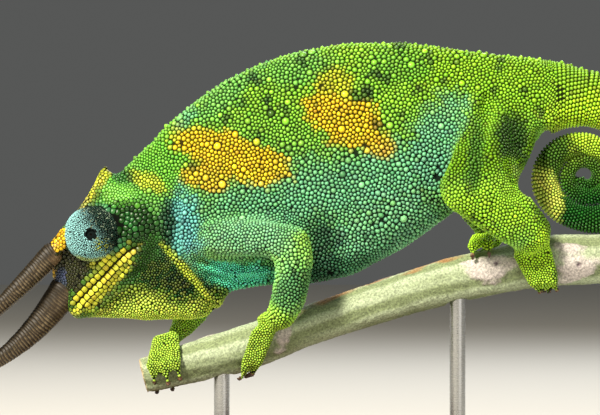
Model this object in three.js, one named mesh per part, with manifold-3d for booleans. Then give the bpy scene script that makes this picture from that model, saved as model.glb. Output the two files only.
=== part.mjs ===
// A life-size three-horned chameleon on a cut branch, held by a plain display stand.
// Units are millimetres. +Z is up, the animal faces -X, and its left side faces -Y.
// The origin is the centre of the stand's underside.
import * as THREE from 'three';
import { mergeVertices } from 'three/addons/utils/BufferGeometryUtils.js';
import { RoundedBoxGeometry } from 'three/addons/geometries/RoundedBoxGeometry.js';
import Module from 'manifold-3d';

const wasm = await Module();
wasm.setup();

// ---------------------------------------------------------------- driving dimensions

const GAP = 0.3; // clear space between neighbouring solids
const SNOUT_X = -71.5; // front of the mouth
const HIP_X = 60; // where the trunk ends and the tail begins
const NECK_X = -36; // back end of the neck
const WAIST_X = 6; // between chest and belly

// The trunk, station by station: x, height of the back, height of the belly line, half width.
const TRUNK = [
  [-61, 77, 60, 5.2],
  [-55, 86, 54, 6.6],
  [-48, 92.6, 49.5, 7.6],
  [-40, 100.2, 47.4, 8.8],
  [-30, 107.4, 47.6, 10.2],
  [-18, 112.8, 49, 11.6],
  [-6, 116.4, 49.6, 12.4],
  [6, 118.2, 51.6, 12.6],
  [19, 118.4, 58.6, 12.2],
  [31, 117.1, 66.6, 11],
  [42, 115.7, 74.8, 9.6],
  [53, 114.4, 85, 8],
  [62, 113.3, 91.8, 7],
];

// The tail: its root runs level, then it winds into a flat coil, three turns tight.
const COIL = { x: 72, z: 80.1 };
// Root stations: x, z of the centre, half height, half width.
const TAIL_ROOT = [
  [58, 102.2, 11.7, 7.4],
  [65, 102.6, 9.9, 6.7],
];
// Coil stations, one each quarter turn from the top: distance from the coil's centre, half thickness.
const TAIL_COIL = [
  [22, 8.4],
  [16.4, 5.6],
  [11.7, 3.7],
  [11.35, 3.75],
  [9.1, 3],
  [7.05, 2.55],
  [5.5, 2.2],
  [5.22, 2.05],
  [4.25, 1.7],
  [2.9, 1.38],
  [1.95, 1.18],
  [1.75, 1.1],
];
const TAIL_WIDTH_SHARE = 0.9; // the tail's half width over its half thickness
const TAIL_LENGTHS = 5;
const TAIL_RINGS = [5, 9, 9, 10, 17];

// The head leans down: its own axes start at the jaw's hinge, u forward, the way the mouth runs, and v up.
const JAW_HINGE = new THREE.Vector3(-51.2, 0, 61);
const HEAD_PITCH = THREE.MathUtils.degToRad(45.4);
const MOUTH_HEIGHT = 2.3; // v of the mouth line
// Head stations: u, crown height, underside height, half width.
const HEAD = [
  [-13, 15, -3, 5.8],
  [-10, 19, -5.4, 7.2],
  [-7.4, 23.2, -6.4, 8.2],
  [-4.8, 23.6, -6.8, 8.7],
  [0.4, 21.6, -6.8, 8.8],
  [5, 20.2, -6.6, 8.5],
  [10, 19.9, -6.2, 7.9],
  [15, 19.6, -5.7, 7.2],
  [20, 18, -5, 6.2],
  [24.4, 13.8, -4.1, 5.2],
  [27.2, 7.6, -2.1, 3.9],
  [28.8, 2.8, -0.5, 2.2],
];
// The brow crest on each side, from the mound over the horn's root to the back of the crown: u, side, v, radius.
const BROW = [
  [19.4, 4.4, 16.6, 3.7],
  [15.9, 4.9, 17.6, 2.8],
  [9, 5.5, 19.4, 1.5],
  [3.4, 5.4, 19.6, 1.6],
  [-0.6, 4.4, 21.2, 1.6],
  [-6.6, 1, 22.9, 1.7],
];
// The swelling that the nose horn grows out of: u, side, v, radius.
const NOSE = [
  [18, 0, 9, 5.4],
  [24.4, 0, 7.8, 5.2],
];
const EYE = { u: 8.2, v: 12.7, out: 5.6, radius: 7.95, depth: 7.6, turn: 4 };
// Horns: where the base is (u, side, v), length, base and tip radius, how far the tip spreads and rises, and sag.
const HORN_NOSE = { u: 20.5, side: 0, v: 8, length: 43, base: 4.8, tip: 0.9, spread: 0, rise: 1.5, sag: 3 };
const HORN_BROW = { u: 17.5, side: 4.4, v: 17, length: 39.5, base: 3.3, tip: 0.9, spread: 2.4, rise: 0.8, sag: 0.5 };

// The throat: x, top inside the head and neck, lower edge, half width.
const THROAT = [
  [SNOUT_X + 2, 44.5, 40.9, 1.6],
  [-66, 47.6, 40.3, 3],
  [-60, 53, 39.8, 4.2],
  [-53, 62, 39.5, 5.4],
  [-46, 68, 39.3, 6.2],
  [-39, 66, 39.4, 6.8],
  [-33.5, 60, 40, 6],
  [-29, 52, 43.4, 3.6],
];

// The branch: x, z, radius. It swells at its nodes.
const BRANCH = [
  [-52, 24.3, 5.4],
  [-44, 26.4, 5.8],
  [-36, 28.6, 6.3],
  [-28, 30.6, 6.8],
  [-20, 33.2, 6.9],
  [-12, 36.1, 6.2],
  [-4, 38.9, 6.1],
  [5, 41.9, 6.2],
  [16, 45.5, 6.4],
  [28, 49.2, 6.6],
  [38, 51.9, 7.1],
  [47.6, 53.8, 6.9],
  [57, 55.8, 7.3],
  [66, 57, 7.8],
  [75, 57, 7.4],
  [84, 57.6, 7.6],
  [90, 57.9, 7.1],
];
const BASE = { length: 140, width: 84, height: 8, corner: 1 };
const ROD = { radius: 2.2, intoBranch: 3.5, front: -30, back: 36 };

// ---------------------------------------------------------------- shaping tools

// Smooth values through rows, by the first number of each row.
function smoothRows(rows) {
  const width = rows[0].length;
  const keys = Float32Array.from(rows, (row) => row[0]);
  const spline = new THREE.CubicInterpolant(keys, Float32Array.from(rows.flat()), width);
  return (key) => Array.from(spline.evaluate(THREE.MathUtils.clamp(key, keys[0], keys.at(-1))));
}

// One closed body swept through sections. sectionAt(s), for s from 0 to 1, gives the centre, the upward and
// sideways directions, the half sizes above, below and sideways, a keel power, and how much narrower the top is.
function sweptBody(sectionAt, rings, around) {
  const shape = new THREE.SphereGeometry(1, around, rings);
  const place = shape.getAttribute('position');
  const point = new THREE.Vector3();
  for (let i = 0; i < place.count; i += 1) {
    point.fromBufferAttribute(place, i);
    const ring = Math.round((Math.acos(THREE.MathUtils.clamp(point.y, -1, 1)) / Math.PI) * rings);
    const section = sectionAt(THREE.MathUtils.clamp((ring - 1) / (rings - 2), 0, 1));
    if (ring === 0 || ring === rings) {
      point.copy(section.centre);
    } else {
      const angle = Math.atan2(point.z, point.x);
      const up = Math.cos(angle);
      const side = Math.sign(Math.sin(angle)) * Math.abs(Math.sin(angle)) ** (section.keel ?? 1);
      const narrow = 1 - (section.narrowTop ?? 0) * Math.max(0, up);
      point.copy(section.centre);
      point.addScaledVector(section.upward, up * (up > 0 ? section.above : section.below));
      point.addScaledVector(section.sideways, side * section.half * narrow);
    }
    place.setXYZ(i, point.x, point.y, point.z);
  }
  return solid(shape);
}

// A manifold solid from a closed geometry, turned to face outwards.
function solid(geometry) {
  const bare = geometry.clone();
  bare.deleteAttribute('normal');
  bare.deleteAttribute('uv');
  const merged = mergeVertices(bare, 1e-4);
  const triVerts = dropFlat(new Uint32Array(merged.index.array));
  const vertProperties = merged.getAttribute('position').array;
  const made = new wasm.Manifold(new wasm.Mesh({ numProp: 3, vertProperties, triVerts }));
  if (made.volume() > 0) return made;
  for (let i = 0; i < triVerts.length; i += 3) {
    [triVerts[i + 1], triVerts[i + 2]] = [triVerts[i + 2], triVerts[i + 1]];
  }
  return new wasm.Manifold(new wasm.Mesh({ numProp: 3, vertProperties, triVerts }));
}

// Triangles that merging has left with two corners in one place are dropped.
function dropFlat(corners) {
  const kept = [];
  for (let i = 0; i < corners.length; i += 3) {
    const [a, b, c] = corners.subarray(i, i + 3);
    if (a !== b && b !== c && a !== c) kept.push(a, b, c);
  }
  return Uint32Array.from(kept);
}

// The largest single body of a solid, so that a cut leaves no crumbs.
function largest(made) {
  return made.decompose().reduce((a, b) => (a.volume() > b.volume() ? a : b));
}

// A limb, toe or claw: a body along a smooth line, with a dome past each end. Each point is x, y, z, half height,
// half width, and the half width lies sideways at the start. The sections don't twist round the line.
function limb(points, { grow = 0, rings = 8, around = 12 } = {}) {
  const line = new THREE.CatmullRomCurve3(points.map(([x, y, z]) => new THREE.Vector3(x, y, z)));
  const sizes = smoothRows(points.map(([, , , high, wide], i) => [i / (points.length - 1), high, wide ?? high]));
  const length = line.getLength();
  const startDome = points[0][3];
  const endDome = points.at(-1)[3];
  const steps = 60;
  const { tangents, normals } = line.computeFrenetFrames(steps);
  const level = new THREE.Vector3(0, 1, 0).projectOnPlane(tangents[0]);
  if (level.length() < 0.3) level.set(1, 0, 0).projectOnPlane(tangents[0]);
  const roll = Math.atan2(tangents[0].dot(normals[0].clone().cross(level)), normals[0].dot(level));
  return sweptBody((s) => {
    const eased = 0.5 - 0.5 * Math.cos(Math.PI * s);
    const along = THREE.MathUtils.lerp(-startDome, length + endDome, eased);
    const u = THREE.MathUtils.clamp(along / length, 0, 1);
    const step = Math.round(u * steps);
    const sideways = normals[step].clone().applyAxisAngle(tangents[step], roll);
    const upward = tangents[step].clone().cross(sideways);
    const [, high, wide] = sizes(line.getUtoTmapping(u));
    const past = along - u * length;
    const round = Math.sqrt(Math.max(0.04, 1 - (past / (past < 0 ? startDome : endDome)) ** 2));
    const centre = line.getPointAt(u).addScaledVector(tangents[step], past + (s - 0.5) * 2 * grow);
    const above = high * round + grow;
    return { centre, upward, sideways, above, below: above, half: wide * round + grow };
  }, rings, around);
}

// All the space on the far side of a plane, as a large block.
function beyond(point, direction, size = 70) {
  const block = new THREE.BoxGeometry(size, size, size).translate(0, 0, size / 2);
  const turn = new THREE.Quaternion().setFromUnitVectors(new THREE.Vector3(0, 0, 1), direction.clone().normalize());
  return solid(block.applyQuaternion(turn).translate(point.x, point.y, point.z));
}

function mesh(name, made, material) {
  const { vertProperties, triVerts, numProp } = largest(made).getMesh();
  const corners = new Float32Array((vertProperties.length / numProp) * 3);
  for (let i = 0; i < corners.length / 3; i += 1) {
    corners.set(vertProperties.subarray(i * numProp, i * numProp + 3), i * 3);
  }
  const geometry = new THREE.BufferGeometry();
  geometry.setAttribute('position', new THREE.BufferAttribute(corners, 3));
  geometry.setIndex(new THREE.BufferAttribute(triVerts, 1));
  geometry.computeVertexNormals();
  const named = new THREE.Mesh(geometry, material);
  named.name = name;
  chameleon.add(named);
}

const finish = (color, roughness, metalness = 0) =>
  new THREE.MeshStandardMaterial({ color, roughness, metalness });
const GREEN_SKIN = finish('#5fa524', 0.5);
const YELLOW_SKIN = finish('#c9b92c', 0.5);
const EYELID = finish('#4f9c9d', 0.45);
const HORN = finish('#75675b', 0.55);
const CLAW = finish('#4a3a2a', 0.4);
const BARK = finish('#a8a58f', 0.85);
const STAND_WOOD = finish('#3b2a1e', 0.4);
const ROD_STEEL = finish('#8c8c8c', 0.3, 1);

const chameleon = new THREE.Group();

// ---------------------------------------------------------------- trunk and neck

const trunkRow = smoothRows(TRUNK);

// The trunk between two stations. The body is flattened sideways, and its back and belly come to blunt keels.
function trunkLength(fromX, toX, rings, grow = 0) {
  return sweptBody((s) => {
    const [x, back, belly, half] = trunkRow(THREE.MathUtils.lerp(fromX, toX, s));
    const middle = (back + belly) / 2;
    return {
      centre: new THREE.Vector3(THREE.MathUtils.lerp(fromX, toX, s), 0, middle),
      upward: new THREE.Vector3(0, 0, 1),
      sideways: new THREE.Vector3(0, 1, 0),
      above: back - middle + grow,
      below: middle - belly + grow,
      half: half + grow,
      keel: 1.04,
      narrowTop: 0.2,
    };
  }, rings, 16);
}

const wholeTrunk = trunkLength(TRUNK[0][0], NECK_X, 6, GAP)
  .add(trunkLength(NECK_X, WAIST_X, 9, GAP))
  .add(trunkLength(WAIST_X, HIP_X, 10, GAP));

// ---------------------------------------------------------------- head and jaw

const headFrame = new THREE.Matrix4().makeBasis(
  new THREE.Vector3(-Math.cos(HEAD_PITCH), 0, -Math.sin(HEAD_PITCH)),
  new THREE.Vector3(0, -1, 0),
  new THREE.Vector3(-Math.sin(HEAD_PITCH), 0, Math.cos(HEAD_PITCH)),
).setPosition(JAW_HINGE);
const headDirection = (u, side, v) => new THREE.Vector3(u, side, v).transformDirection(headFrame);
const headPoint = (u, side, v) => new THREE.Vector3(u, side, v).applyMatrix4(headFrame);
const headRow = smoothRows(HEAD);

function headBody(grow = 0) {
  const back = HEAD[0][0];
  const front = HEAD.at(-1)[0];
  return sweptBody((s) => {
    const eased = 0.5 - 0.5 * Math.cos(Math.PI * s);
    const [u, crown, under, half] = headRow(THREE.MathUtils.lerp(back, front, eased));
    const middle = THREE.MathUtils.lerp(under, crown, 0.42);
    return {
      centre: headPoint(u + (s - 0.5) * 2 * grow, 0, middle),
      upward: headDirection(0, 0, 1),
      sideways: headDirection(0, 1, 0),
      above: crown - middle + grow,
      below: middle - under + grow,
      half: half + grow,
      keel: 0.72,
      narrowTop: 0.3,
    };
  }, 13, 16);
}

function browCrest(sign, grow = 0) {
  return limb(BROW.map(([u, side, v, radius]) => [...headPoint(u, sign * side, v).toArray(), radius, radius]),
    { grow, rings: 7, around: 5 });
}

function noseSwelling(grow) {
  const rows = NOSE.map(([u, side, v, radius]) => [...headPoint(u, side, v).toArray(), radius, radius]);
  return limb(rows, { grow, rings: 3, around: 8 });
}

const wholeHead = (grow) => [browCrest(1, grow), browCrest(-1, grow), noseSwelling(grow)]
  .reduce((a, b) => a.add(b), headBody(grow));

// The space below the mouth line, from the corner of the mouth forwards.
function belowMouth(lift) {
  const block = new THREE.BoxGeometry(60, 60, 30);
  block.translate(30 - lift, 0, MOUTH_HEIGHT - 15 + lift);
  return solid(block.applyMatrix4(headFrame));
}

// ---------------------------------------------------------------- eyes

// The eye is a scaly turret with a small round opening: a lathe profile, turned to look sideways.
function eyeTurret(side, grow = 0) {
  const { radius, depth } = EYE;
  const profile = [[0, -0.62], [0.78, -0.52], [1, 0], [0.94, 0.32], [0.76, 0.64], [0.48, 0.88], [0.2, 1], [0, 0.93]];
  const outline = profile.map(([across, high], i) => {
    const inner = i === 0 || i === profile.length - 1;
    return new THREE.Vector2(inner ? 0 : across * radius + grow, high * depth + Math.sign(high) * grow);
  });
  const turret = new THREE.LatheGeometry(outline, 14);
  const lookingOut = new THREE.Matrix4().makeRotationX(side > 0 ? Math.PI : 0);
  const turned = new THREE.Matrix4().makeRotationZ(THREE.MathUtils.degToRad(-side * EYE.turn));
  turret.applyMatrix4(lookingOut).applyMatrix4(turned);
  const at = headPoint(EYE.u, side * EYE.out, EYE.v);
  return solid(turret.translate(at.x, at.y, at.z));
}

// ---------------------------------------------------------------- horns

function horn({ u, side, v, length, base, tip, spread, rise, sag }, sign = 1) {
  const line = new THREE.CatmullRomCurve3([0, 0.25, 0.5, 0.75, 1].map((t) =>
    headPoint(u + t * length, sign * (side + t * spread), v + t * rise - Math.sin(Math.PI * t) * sag)));
  return sweptBody((s) => {
    const tangent = line.getTangent(THREE.MathUtils.clamp(s, 0.001, 0.999));
    const sideways = headDirection(0, 1, 0);
    const upward = tangent.clone().cross(sideways).normalize();
    const half = THREE.MathUtils.lerp(base, tip, s ** 1.25);
    return { centre: line.getPoint(s), upward, sideways, above: half, below: half, half: half * 0.92 };
  }, 8, 8);
}

// ---------------------------------------------------------------- throat

function throatBody(grow = 0) {
  const row = smoothRows(THROAT);
  return sweptBody((s) => {
    const x = THREE.MathUtils.lerp(THROAT[0][0], THROAT.at(-1)[0], s);
    const [, top, edge, half] = row(x);
    const middle = THREE.MathUtils.lerp(edge, top, 0.62);
    return {
      centre: new THREE.Vector3(x + (s - 0.5) * 2 * grow, 0, middle),
      upward: new THREE.Vector3(0, 0, 1),
      sideways: new THREE.Vector3(0, 1, 0),
      above: top - middle + grow,
      below: middle - edge + grow,
      half: half + grow,
      keel: 1.05,
    };
  }, 9, 12);
}

const head = wholeHead(0);
const grownHead = wholeHead(GAP);
const sockets = eyeTurret(1, GAP).add(eyeTurret(-1, GAP));
mesh('head', head.subtract(belowMouth(GAP / 2)).subtract(sockets), GREEN_SKIN);
mesh('jaw', head.intersect(belowMouth(-GAP / 2)).subtract(sockets), YELLOW_SKIN);
mesh('eye_left', eyeTurret(1), EYELID);
mesh('eye_right', eyeTurret(-1), EYELID);
mesh('horn_nose', horn(HORN_NOSE).subtract(grownHead), HORN);
mesh('horn_left', horn(HORN_BROW, 1).subtract(grownHead).subtract(sockets), HORN);
mesh('horn_right', horn(HORN_BROW, -1).subtract(grownHead).subtract(sockets), HORN);
mesh('throat', throatBody().subtract(grownHead).subtract(wholeTrunk), YELLOW_SKIN);
mesh('neck', trunkLength(TRUNK[0][0] + GAP, NECK_X - GAP / 2, 6).subtract(grownHead), GREEN_SKIN);
mesh('chest', trunkLength(NECK_X + GAP / 2, WAIST_X - GAP / 2, 9), GREEN_SKIN);
mesh('belly', trunkLength(WAIST_X + GAP / 2, HIP_X - GAP / 2, 10), GREEN_SKIN);

// ---------------------------------------------------------------- tail

const coilPoint = (turns, radius) => {
  const angle = (0.25 - turns) * 2 * Math.PI;
  return new THREE.Vector3(COIL.x + Math.cos(angle) * radius, 0, COIL.z + Math.sin(angle) * radius);
};
const coilRow = smoothRows(TAIL_COIL.map(([radius, half], i) => [i / 4, radius, half]));
const coilTurns = (TAIL_COIL.length - 1) / 4;
const rootRow = smoothRows([...TAIL_ROOT, [COIL.x, COIL.z + TAIL_COIL[0][0], TAIL_COIL[0][1], 6.1]]);
const rootSpan = COIL.x - TAIL_ROOT[0][0];

// The tail's line: below 0 along the straight root, in millimetres before the coil, and above 0 in turns.
function tailPoint(t) {
  if (t >= 0) return coilPoint(t, coilRow(t)[1]);
  const x = COIL.x + t * rootSpan;
  return new THREE.Vector3(x, 0, rootRow(x)[1]);
}

function tailHalf(t) {
  if (t >= 0) return [coilRow(t)[2], coilRow(t)[2] * THREE.MathUtils.lerp(0.72, TAIL_WIDTH_SHARE, Math.min(1, t * 1.6))];
  return rootRow(COIL.x + t * rootSpan).slice(2);
}

const tailStart = -(COIL.x - HIP_X - GAP / 2) / rootSpan;

function tailLength(from, to, rings, around) {
  return sweptBody((s) => {
    const t = THREE.MathUtils.lerp(from, to, s);
    const step = 0.004;
    const ahead = tailPoint(Math.min(t + step, coilTurns));
    const tangent = ahead.sub(tailPoint(t - step)).normalize();
    const sideways = new THREE.Vector3(0, 1, 0);
    const upward = tangent.clone().cross(sideways);
    upward.lerp(new THREE.Vector3(0, 0, 1), THREE.MathUtils.clamp(t / tailStart, 0, 1)).normalize();
    const [high, wide] = tailHalf(t);
    return { centre: tailPoint(t), upward, sideways, above: high, below: high, half: wide };
  }, rings, around);
}

const tailCuts = [tailStart, 0.02, 0.42, 0.86, 1.5, coilTurns];
for (let i = 0; i < TAIL_LENGTHS; i += 1) {
  const radius = tailCuts[i + 1] > 0 ? coilRow(tailCuts[i + 1])[1] : rootSpan;
  const cut = i + 1 < TAIL_LENGTHS ? GAP / (2 * Math.PI * radius) : 0;
  const rings = TAIL_RINGS[i];
  const around = i < 3 ? 12 : 9;
  mesh(`tail_${i + 1}`, tailLength(tailCuts[i], tailCuts[i + 1] - cut, rings, around), GREEN_SKIN);
}

// ---------------------------------------------------------------- branch

const branchLine = new THREE.CatmullRomCurve3(BRANCH.map(([x, z]) => new THREE.Vector3(x, 0, z)));
const branchRadius = smoothRows(BRANCH.map(([, , radius], i) => [i / (BRANCH.length - 1), radius]));

function branch(grow = 0) {
  return sweptBody((s) => {
    const t = THREE.MathUtils.clamp(s, 0.0001, 0.9999);
    const tangent = branchLine.getTangent(t);
    const sideways = new THREE.Vector3(0, 1, 0);
    const half = branchRadius(s)[1] + grow;
    return {
      centre: branchLine.getPoint(t).addScaledVector(tangent, (s - 0.5) * 2 * grow),
      upward: tangent.clone().cross(sideways).normalize(),
      sideways,
      above: half,
      below: half,
      half,
    };
  }, 17, 9);
}

const grownBranch = branch(GAP);

// How far along the branch, from 0 to 1, an x lies.
function branchStation(x) {
  let low = 0;
  let high = 1;
  while (high - low > 1e-5) {
    const middle = (low + high) / 2;
    if (branchLine.getPoint(middle).x < x) low = middle;
    else high = middle;
  }
  return low;
}

// ---------------------------------------------------------------- legs

// Each leg has its shoulder or hip, elbow or knee, and wrist or ankle as x, y, z, half height, half width, then
// the middle of the foot. Toes close on the branch in two bundles. A toe's rows give x along the branch and the
// angle round it from the top, in degrees towards the left. A fore foot has three toes inside and two outside,
// a hind foot two inside and three outside.
const LEGS = {
  fore_left: {
    upper: [[-37, -5, 62.8, 6.4, 5.4], [-24, -12.2, 63.4, 5.6, 5], [-10.4, -16.6, 61.8, 5.4, 5]],
    lower: [[-10.2, -16.6, 61.4, 5.6, 5.2], [-9.8, -15.4, 51, 5.7, 5.2], [-13.4, -11, 41.4, 4.5, 4.4]],
    foot: [[-14.2, -10, 40.6, 3.8, 3.8], [-16.6, -7.2, 39.8, 3.2, 3.4], [-18.4, -4.8, 40.2, 2.4, 2.6]],
    outer: [[[-17.4, 62], [-21.8, 95], [-26, 137]], [[-14.6, 62], [-18.6, 95], [-22.6, 134]]],
    inner: [
      [[-18.6, 6], [-24, -10], [-28.2, -30], [-30, -62]],
      [[-17.6, 4], [-20.8, -20], [-24.4, -52], [-26, -90]],
      [[-15.8, 4], [-17.2, -24], [-19.4, -60], [-20.6, -96]],
    ],
  },
  hind_left: {
    upper: [[48.8, -4, 96, 8.8, 6], [45.8, -12, 85.2, 12.2, 6.6], [38.4, -17.6, 77, 8, 6]],
    lower: [[36.8, -17.6, 76.4, 6.8, 6], [47.6, -16.2, 71.2, 8.7, 5.8], [55.8, -12, 64.4, 6.6, 5]],
    foot: [[56.2, -11.2, 63.6, 5.6, 4.4], [57.8, -9, 62.4, 4.6, 4.2], [58.6, -6.4, 63, 2.8, 3.2]],
    outer: [
      [[53.6, 60], [54.6, 98], [56.8, 138]],
      [[56.8, 60], [57.8, 98], [59.6, 140]],
      [[60, 60], [61, 98], [62.2, 138]],
    ],
    inner: [[[57, 8], [56, -40], [55.6, -84], [56.4, -118]], [[60, 8], [59.8, -40], [59.6, -86], [60.2, -120]]],
  },
  fore_right: {
    upper: [[-37, 5, 62.8, 6.4, 5.4], [-32, 15, 61, 5.4, 5], [-28, 23.6, 57.4, 5, 4.8]],
    lower: [[-28, 23.6, 57, 5, 4.8], [-34, 17.6, 48, 5.2, 5], [-40.6, 10.4, 39.2, 4.2, 4.2]],
    foot: [[-41, 9.6, 38, 3.8, 3.8], [-42.4, 7, 36.2, 3.2, 3.4], [-43.4, 4.8, 35.4, 2.4, 2.6]],
    outer: [[[-44.6, -60], [-47.2, -92], [-49, -124]], [[-41.8, -62], [-43.8, -94], [-45, -126]]],
    inner: [
      [[-44.4, -8], [-47, 24], [-48.6, 60], [-49, 96]],
      [[-43.2, -6], [-44.6, 30], [-45.4, 68], [-45.6, 104]],
      [[-41.6, -8], [-41.6, 28], [-42, 66], [-42.2, 100]],
    ],
  },
  hind_right: {
    upper: [[48.8, 4, 96, 8.8, 6], [45.4, 12.4, 86.2, 9.8, 6.6], [37.4, 19, 78.4, 6.2, 6]],
    lower: [[37.4, 19, 78, 6.2, 6], [43, 15.8, 71.6, 6.2, 5.6], [46.2, 11.4, 65, 4.8, 4.8]],
    foot: [[46.4, 10.4, 63.8, 4.2, 4.2], [46, 7.6, 62.2, 3.8, 3.8], [45.4, 4.8, 61.8, 2.8, 3.2]],
    outer: [
      [[42, -62], [40.8, -94], [40.4, -116]],
      [[45, -62], [44.4, -96], [44, -118]],
      [[48, -62], [48, -96], [47.6, -116]],
    ],
    inner: [[[43.6, -10], [42, 20], [41.4, 40]], [[46.8, -10], [46.2, 20], [45.8, 42]]],
  },
};
const TOE_ROOT = 2.4; // a toe's half thickness where it leaves the foot
const TOE_TIP = 1.65; // and at its tip
const TOE_LIFT = 0.2; // its pads' extra clearance from the bark
const CLAW_LENGTH = 2.5;

// A point at an angle round the branch, its distance clear of the bark for a body of this half thickness.
function roundBranch(x, degrees, half) {
  const t = branchStation(x);
  const angle = THREE.MathUtils.degToRad(degrees);
  const tangent = branchLine.getTangent(t);
  const upward = new THREE.Vector3(-tangent.z, 0, tangent.x).normalize();
  const out = upward.multiplyScalar(Math.cos(angle)).add(new THREE.Vector3(0, -Math.sin(angle), 0));
  return branchLine.getPoint(t).addScaledVector(out, branchRadius(t)[1] + GAP + half);
}

function toePoints(toe) {
  return toe.map(([x, degrees], i) => {
    const half = THREE.MathUtils.lerp(TOE_ROOT, TOE_TIP, i / (toe.length - 1));
    return [...roundBranch(x, degrees, half + TOE_LIFT).toArray(), half, half];
  });
}

const toeBundle = (toes, grow = 0) => toes
  .map((toe) => limb(toePoints(toe), { grow, rings: 5, around: 6 }))
  .reduce((a, b) => a.add(b));

// A claw leaves the tip of its toe, goes on round the branch, and hooks in to the bark.
function claw(toe) {
  const [lastX, lastAngle] = toe.at(-1);
  const [beforeX, beforeAngle] = toe.at(-2);
  const turned = Math.sign(lastAngle - beforeAngle);
  const share = (lastX - beforeX) / Math.abs(lastAngle - beforeAngle);
  const at = (past, half, height) => {
    const reach = branchRadius(branchStation(lastX))[1] + TOE_TIP;
    const degrees = THREE.MathUtils.radToDeg((TOE_TIP + past) / reach);
    return [...roundBranch(lastX + share * degrees, lastAngle + turned * degrees, height).toArray(), half, half * 0.8];
  };
  return limb([
    at(-0.6, 0.85, TOE_TIP),
    at(CLAW_LENGTH * 0.45, 0.7, TOE_TIP * 1.05),
    at(CLAW_LENGTH * 0.8, 0.45, TOE_TIP * 0.75),
    at(CLAW_LENGTH, 0.26, TOE_TIP * 0.25),
  ], { rings: 4, around: 5 });
}

// A leg is made whole, and parted by planes across its elbow or knee and its wrist or ankle.
for (const [leg, { upper, lower, foot, outer, inner }] of Object.entries(LEGS)) {
  const point = ([x, y, z]) => new THREE.Vector3(x, y, z);
  const whole = (grow) => limb(upper, { grow, rings: 7, around: 8 }).add(limb(lower, { grow, rings: 7, around: 8 }))
    .add(limb(foot, { grow, rings: 5, around: 6 }));
  const downUpper = point(upper[2]).sub(point(upper[1])).normalize();
  const downLower = point(lower[1]).sub(point(lower[0])).normalize();
  const bend = downUpper.clone().add(downLower).normalize();
  const elbow = point(upper[2]);
  const wrist = point(lower[2]);
  const intoFoot = wrist.clone().sub(point(lower[1])).normalize();
  const shift = (at, direction, distance) => at.clone().addScaledVector(direction, distance);
  const parted = whole(0).subtract(wholeTrunk).subtract(grownBranch);
  const belowElbow = beyond(shift(elbow, bend, GAP / 2), bend);
  const belowWrist = beyond(shift(wrist, intoFoot, GAP / 2), intoFoot, 16);
  mesh(`${leg}_upper`, parted.intersect(beyond(shift(elbow, bend, -GAP / 2), bend.clone().negate())), GREEN_SKIN);
  mesh(`${leg}_lower`, parted.intersect(belowElbow)
    .subtract(beyond(shift(wrist, intoFoot, -GAP / 2), intoFoot, 16)), GREEN_SKIN);
  mesh(`${leg}_foot`, parted.intersect(belowWrist), GREEN_SKIN);
  const blocked = whole(GAP).add(wholeTrunk).add(grownBranch);
  mesh(`${leg}_toes_outer`, toeBundle(outer).subtract(blocked), GREEN_SKIN);
  mesh(`${leg}_toes_inner`, toeBundle(inner).subtract(blocked).subtract(toeBundle(outer, GAP)), GREEN_SKIN);
  const aroundClaws = toeBundle(outer, GAP).add(toeBundle(inner, GAP)).add(grownBranch);
  [...outer, ...inner].forEach((toe, i) => {
    mesh(`${leg}_claw_${i + 1}`, claw(toe).subtract(aroundClaws), CLAW);
  });
}

// ---------------------------------------------------------------- branch and stand

function rod(x, grow = 0) {
  const t = branchStation(x);
  const top = branchLine.getPoint(t).z - branchRadius(t)[1] + ROD.intoBranch + grow;
  const foot = BASE.height + GAP - grow;
  const bar = new THREE.CylinderGeometry(ROD.radius + grow, ROD.radius + grow, top - foot, 12);
  bar.rotateX(Math.PI / 2).translate(x, 0, (top + foot) / 2);
  return solid(bar);
}

mesh('perch', branch().subtract(rod(ROD.front, GAP)).subtract(rod(ROD.back, GAP)), BARK);
mesh('stand_rod_front', rod(ROD.front), ROD_STEEL);
mesh('stand_rod_back', rod(ROD.back), ROD_STEEL);
const plate = new RoundedBoxGeometry(BASE.length, BASE.width, BASE.height, 1, BASE.corner);
mesh('stand_base', solid(plate.translate(0, 0, BASE.height / 2)), STAND_WOOD);

export default chameleon;
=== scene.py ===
# A life-size three-horned chameleon gripping a cut branch, on a plain museum stand.
import math

import bmesh
import bpy
import numpy as np
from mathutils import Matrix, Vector, kdtree, noise
from mathutils.bvhtree import BVHTree


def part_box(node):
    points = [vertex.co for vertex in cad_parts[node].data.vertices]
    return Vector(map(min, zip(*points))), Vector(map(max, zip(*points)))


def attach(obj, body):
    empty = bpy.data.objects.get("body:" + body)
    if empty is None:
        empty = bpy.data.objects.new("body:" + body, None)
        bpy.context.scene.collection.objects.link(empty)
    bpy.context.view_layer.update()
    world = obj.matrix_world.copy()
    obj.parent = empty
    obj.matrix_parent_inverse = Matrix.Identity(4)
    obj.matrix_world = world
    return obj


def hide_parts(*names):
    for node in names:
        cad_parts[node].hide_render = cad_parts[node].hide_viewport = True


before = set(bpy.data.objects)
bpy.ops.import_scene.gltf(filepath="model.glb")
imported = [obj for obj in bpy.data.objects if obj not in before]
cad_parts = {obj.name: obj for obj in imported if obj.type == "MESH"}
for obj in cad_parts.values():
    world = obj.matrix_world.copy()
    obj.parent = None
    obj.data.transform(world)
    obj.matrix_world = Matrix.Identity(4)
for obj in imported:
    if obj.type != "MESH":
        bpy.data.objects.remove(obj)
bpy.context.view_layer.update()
scene = bpy.context.scene
scene.view_settings.view_transform = "Standard"  # colours show as they are named, with no film curve


def linked(name, data):
    """A new object in the scene."""
    new = bpy.data.objects.new(name, data)
    scene.collection.objects.link(new)
    return new


# ---------------------------------------------------------------- camera
# A long lens, level with the animal's flank and some way off, which crops the horns and the tail.

MM = 0.001
VIEW_CENTRE = Vector((-8.1, 0, 71.5)) * MM
VIEW_WIDTH = 168 * MM
CAMERA_AWAY = 1.3

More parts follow.
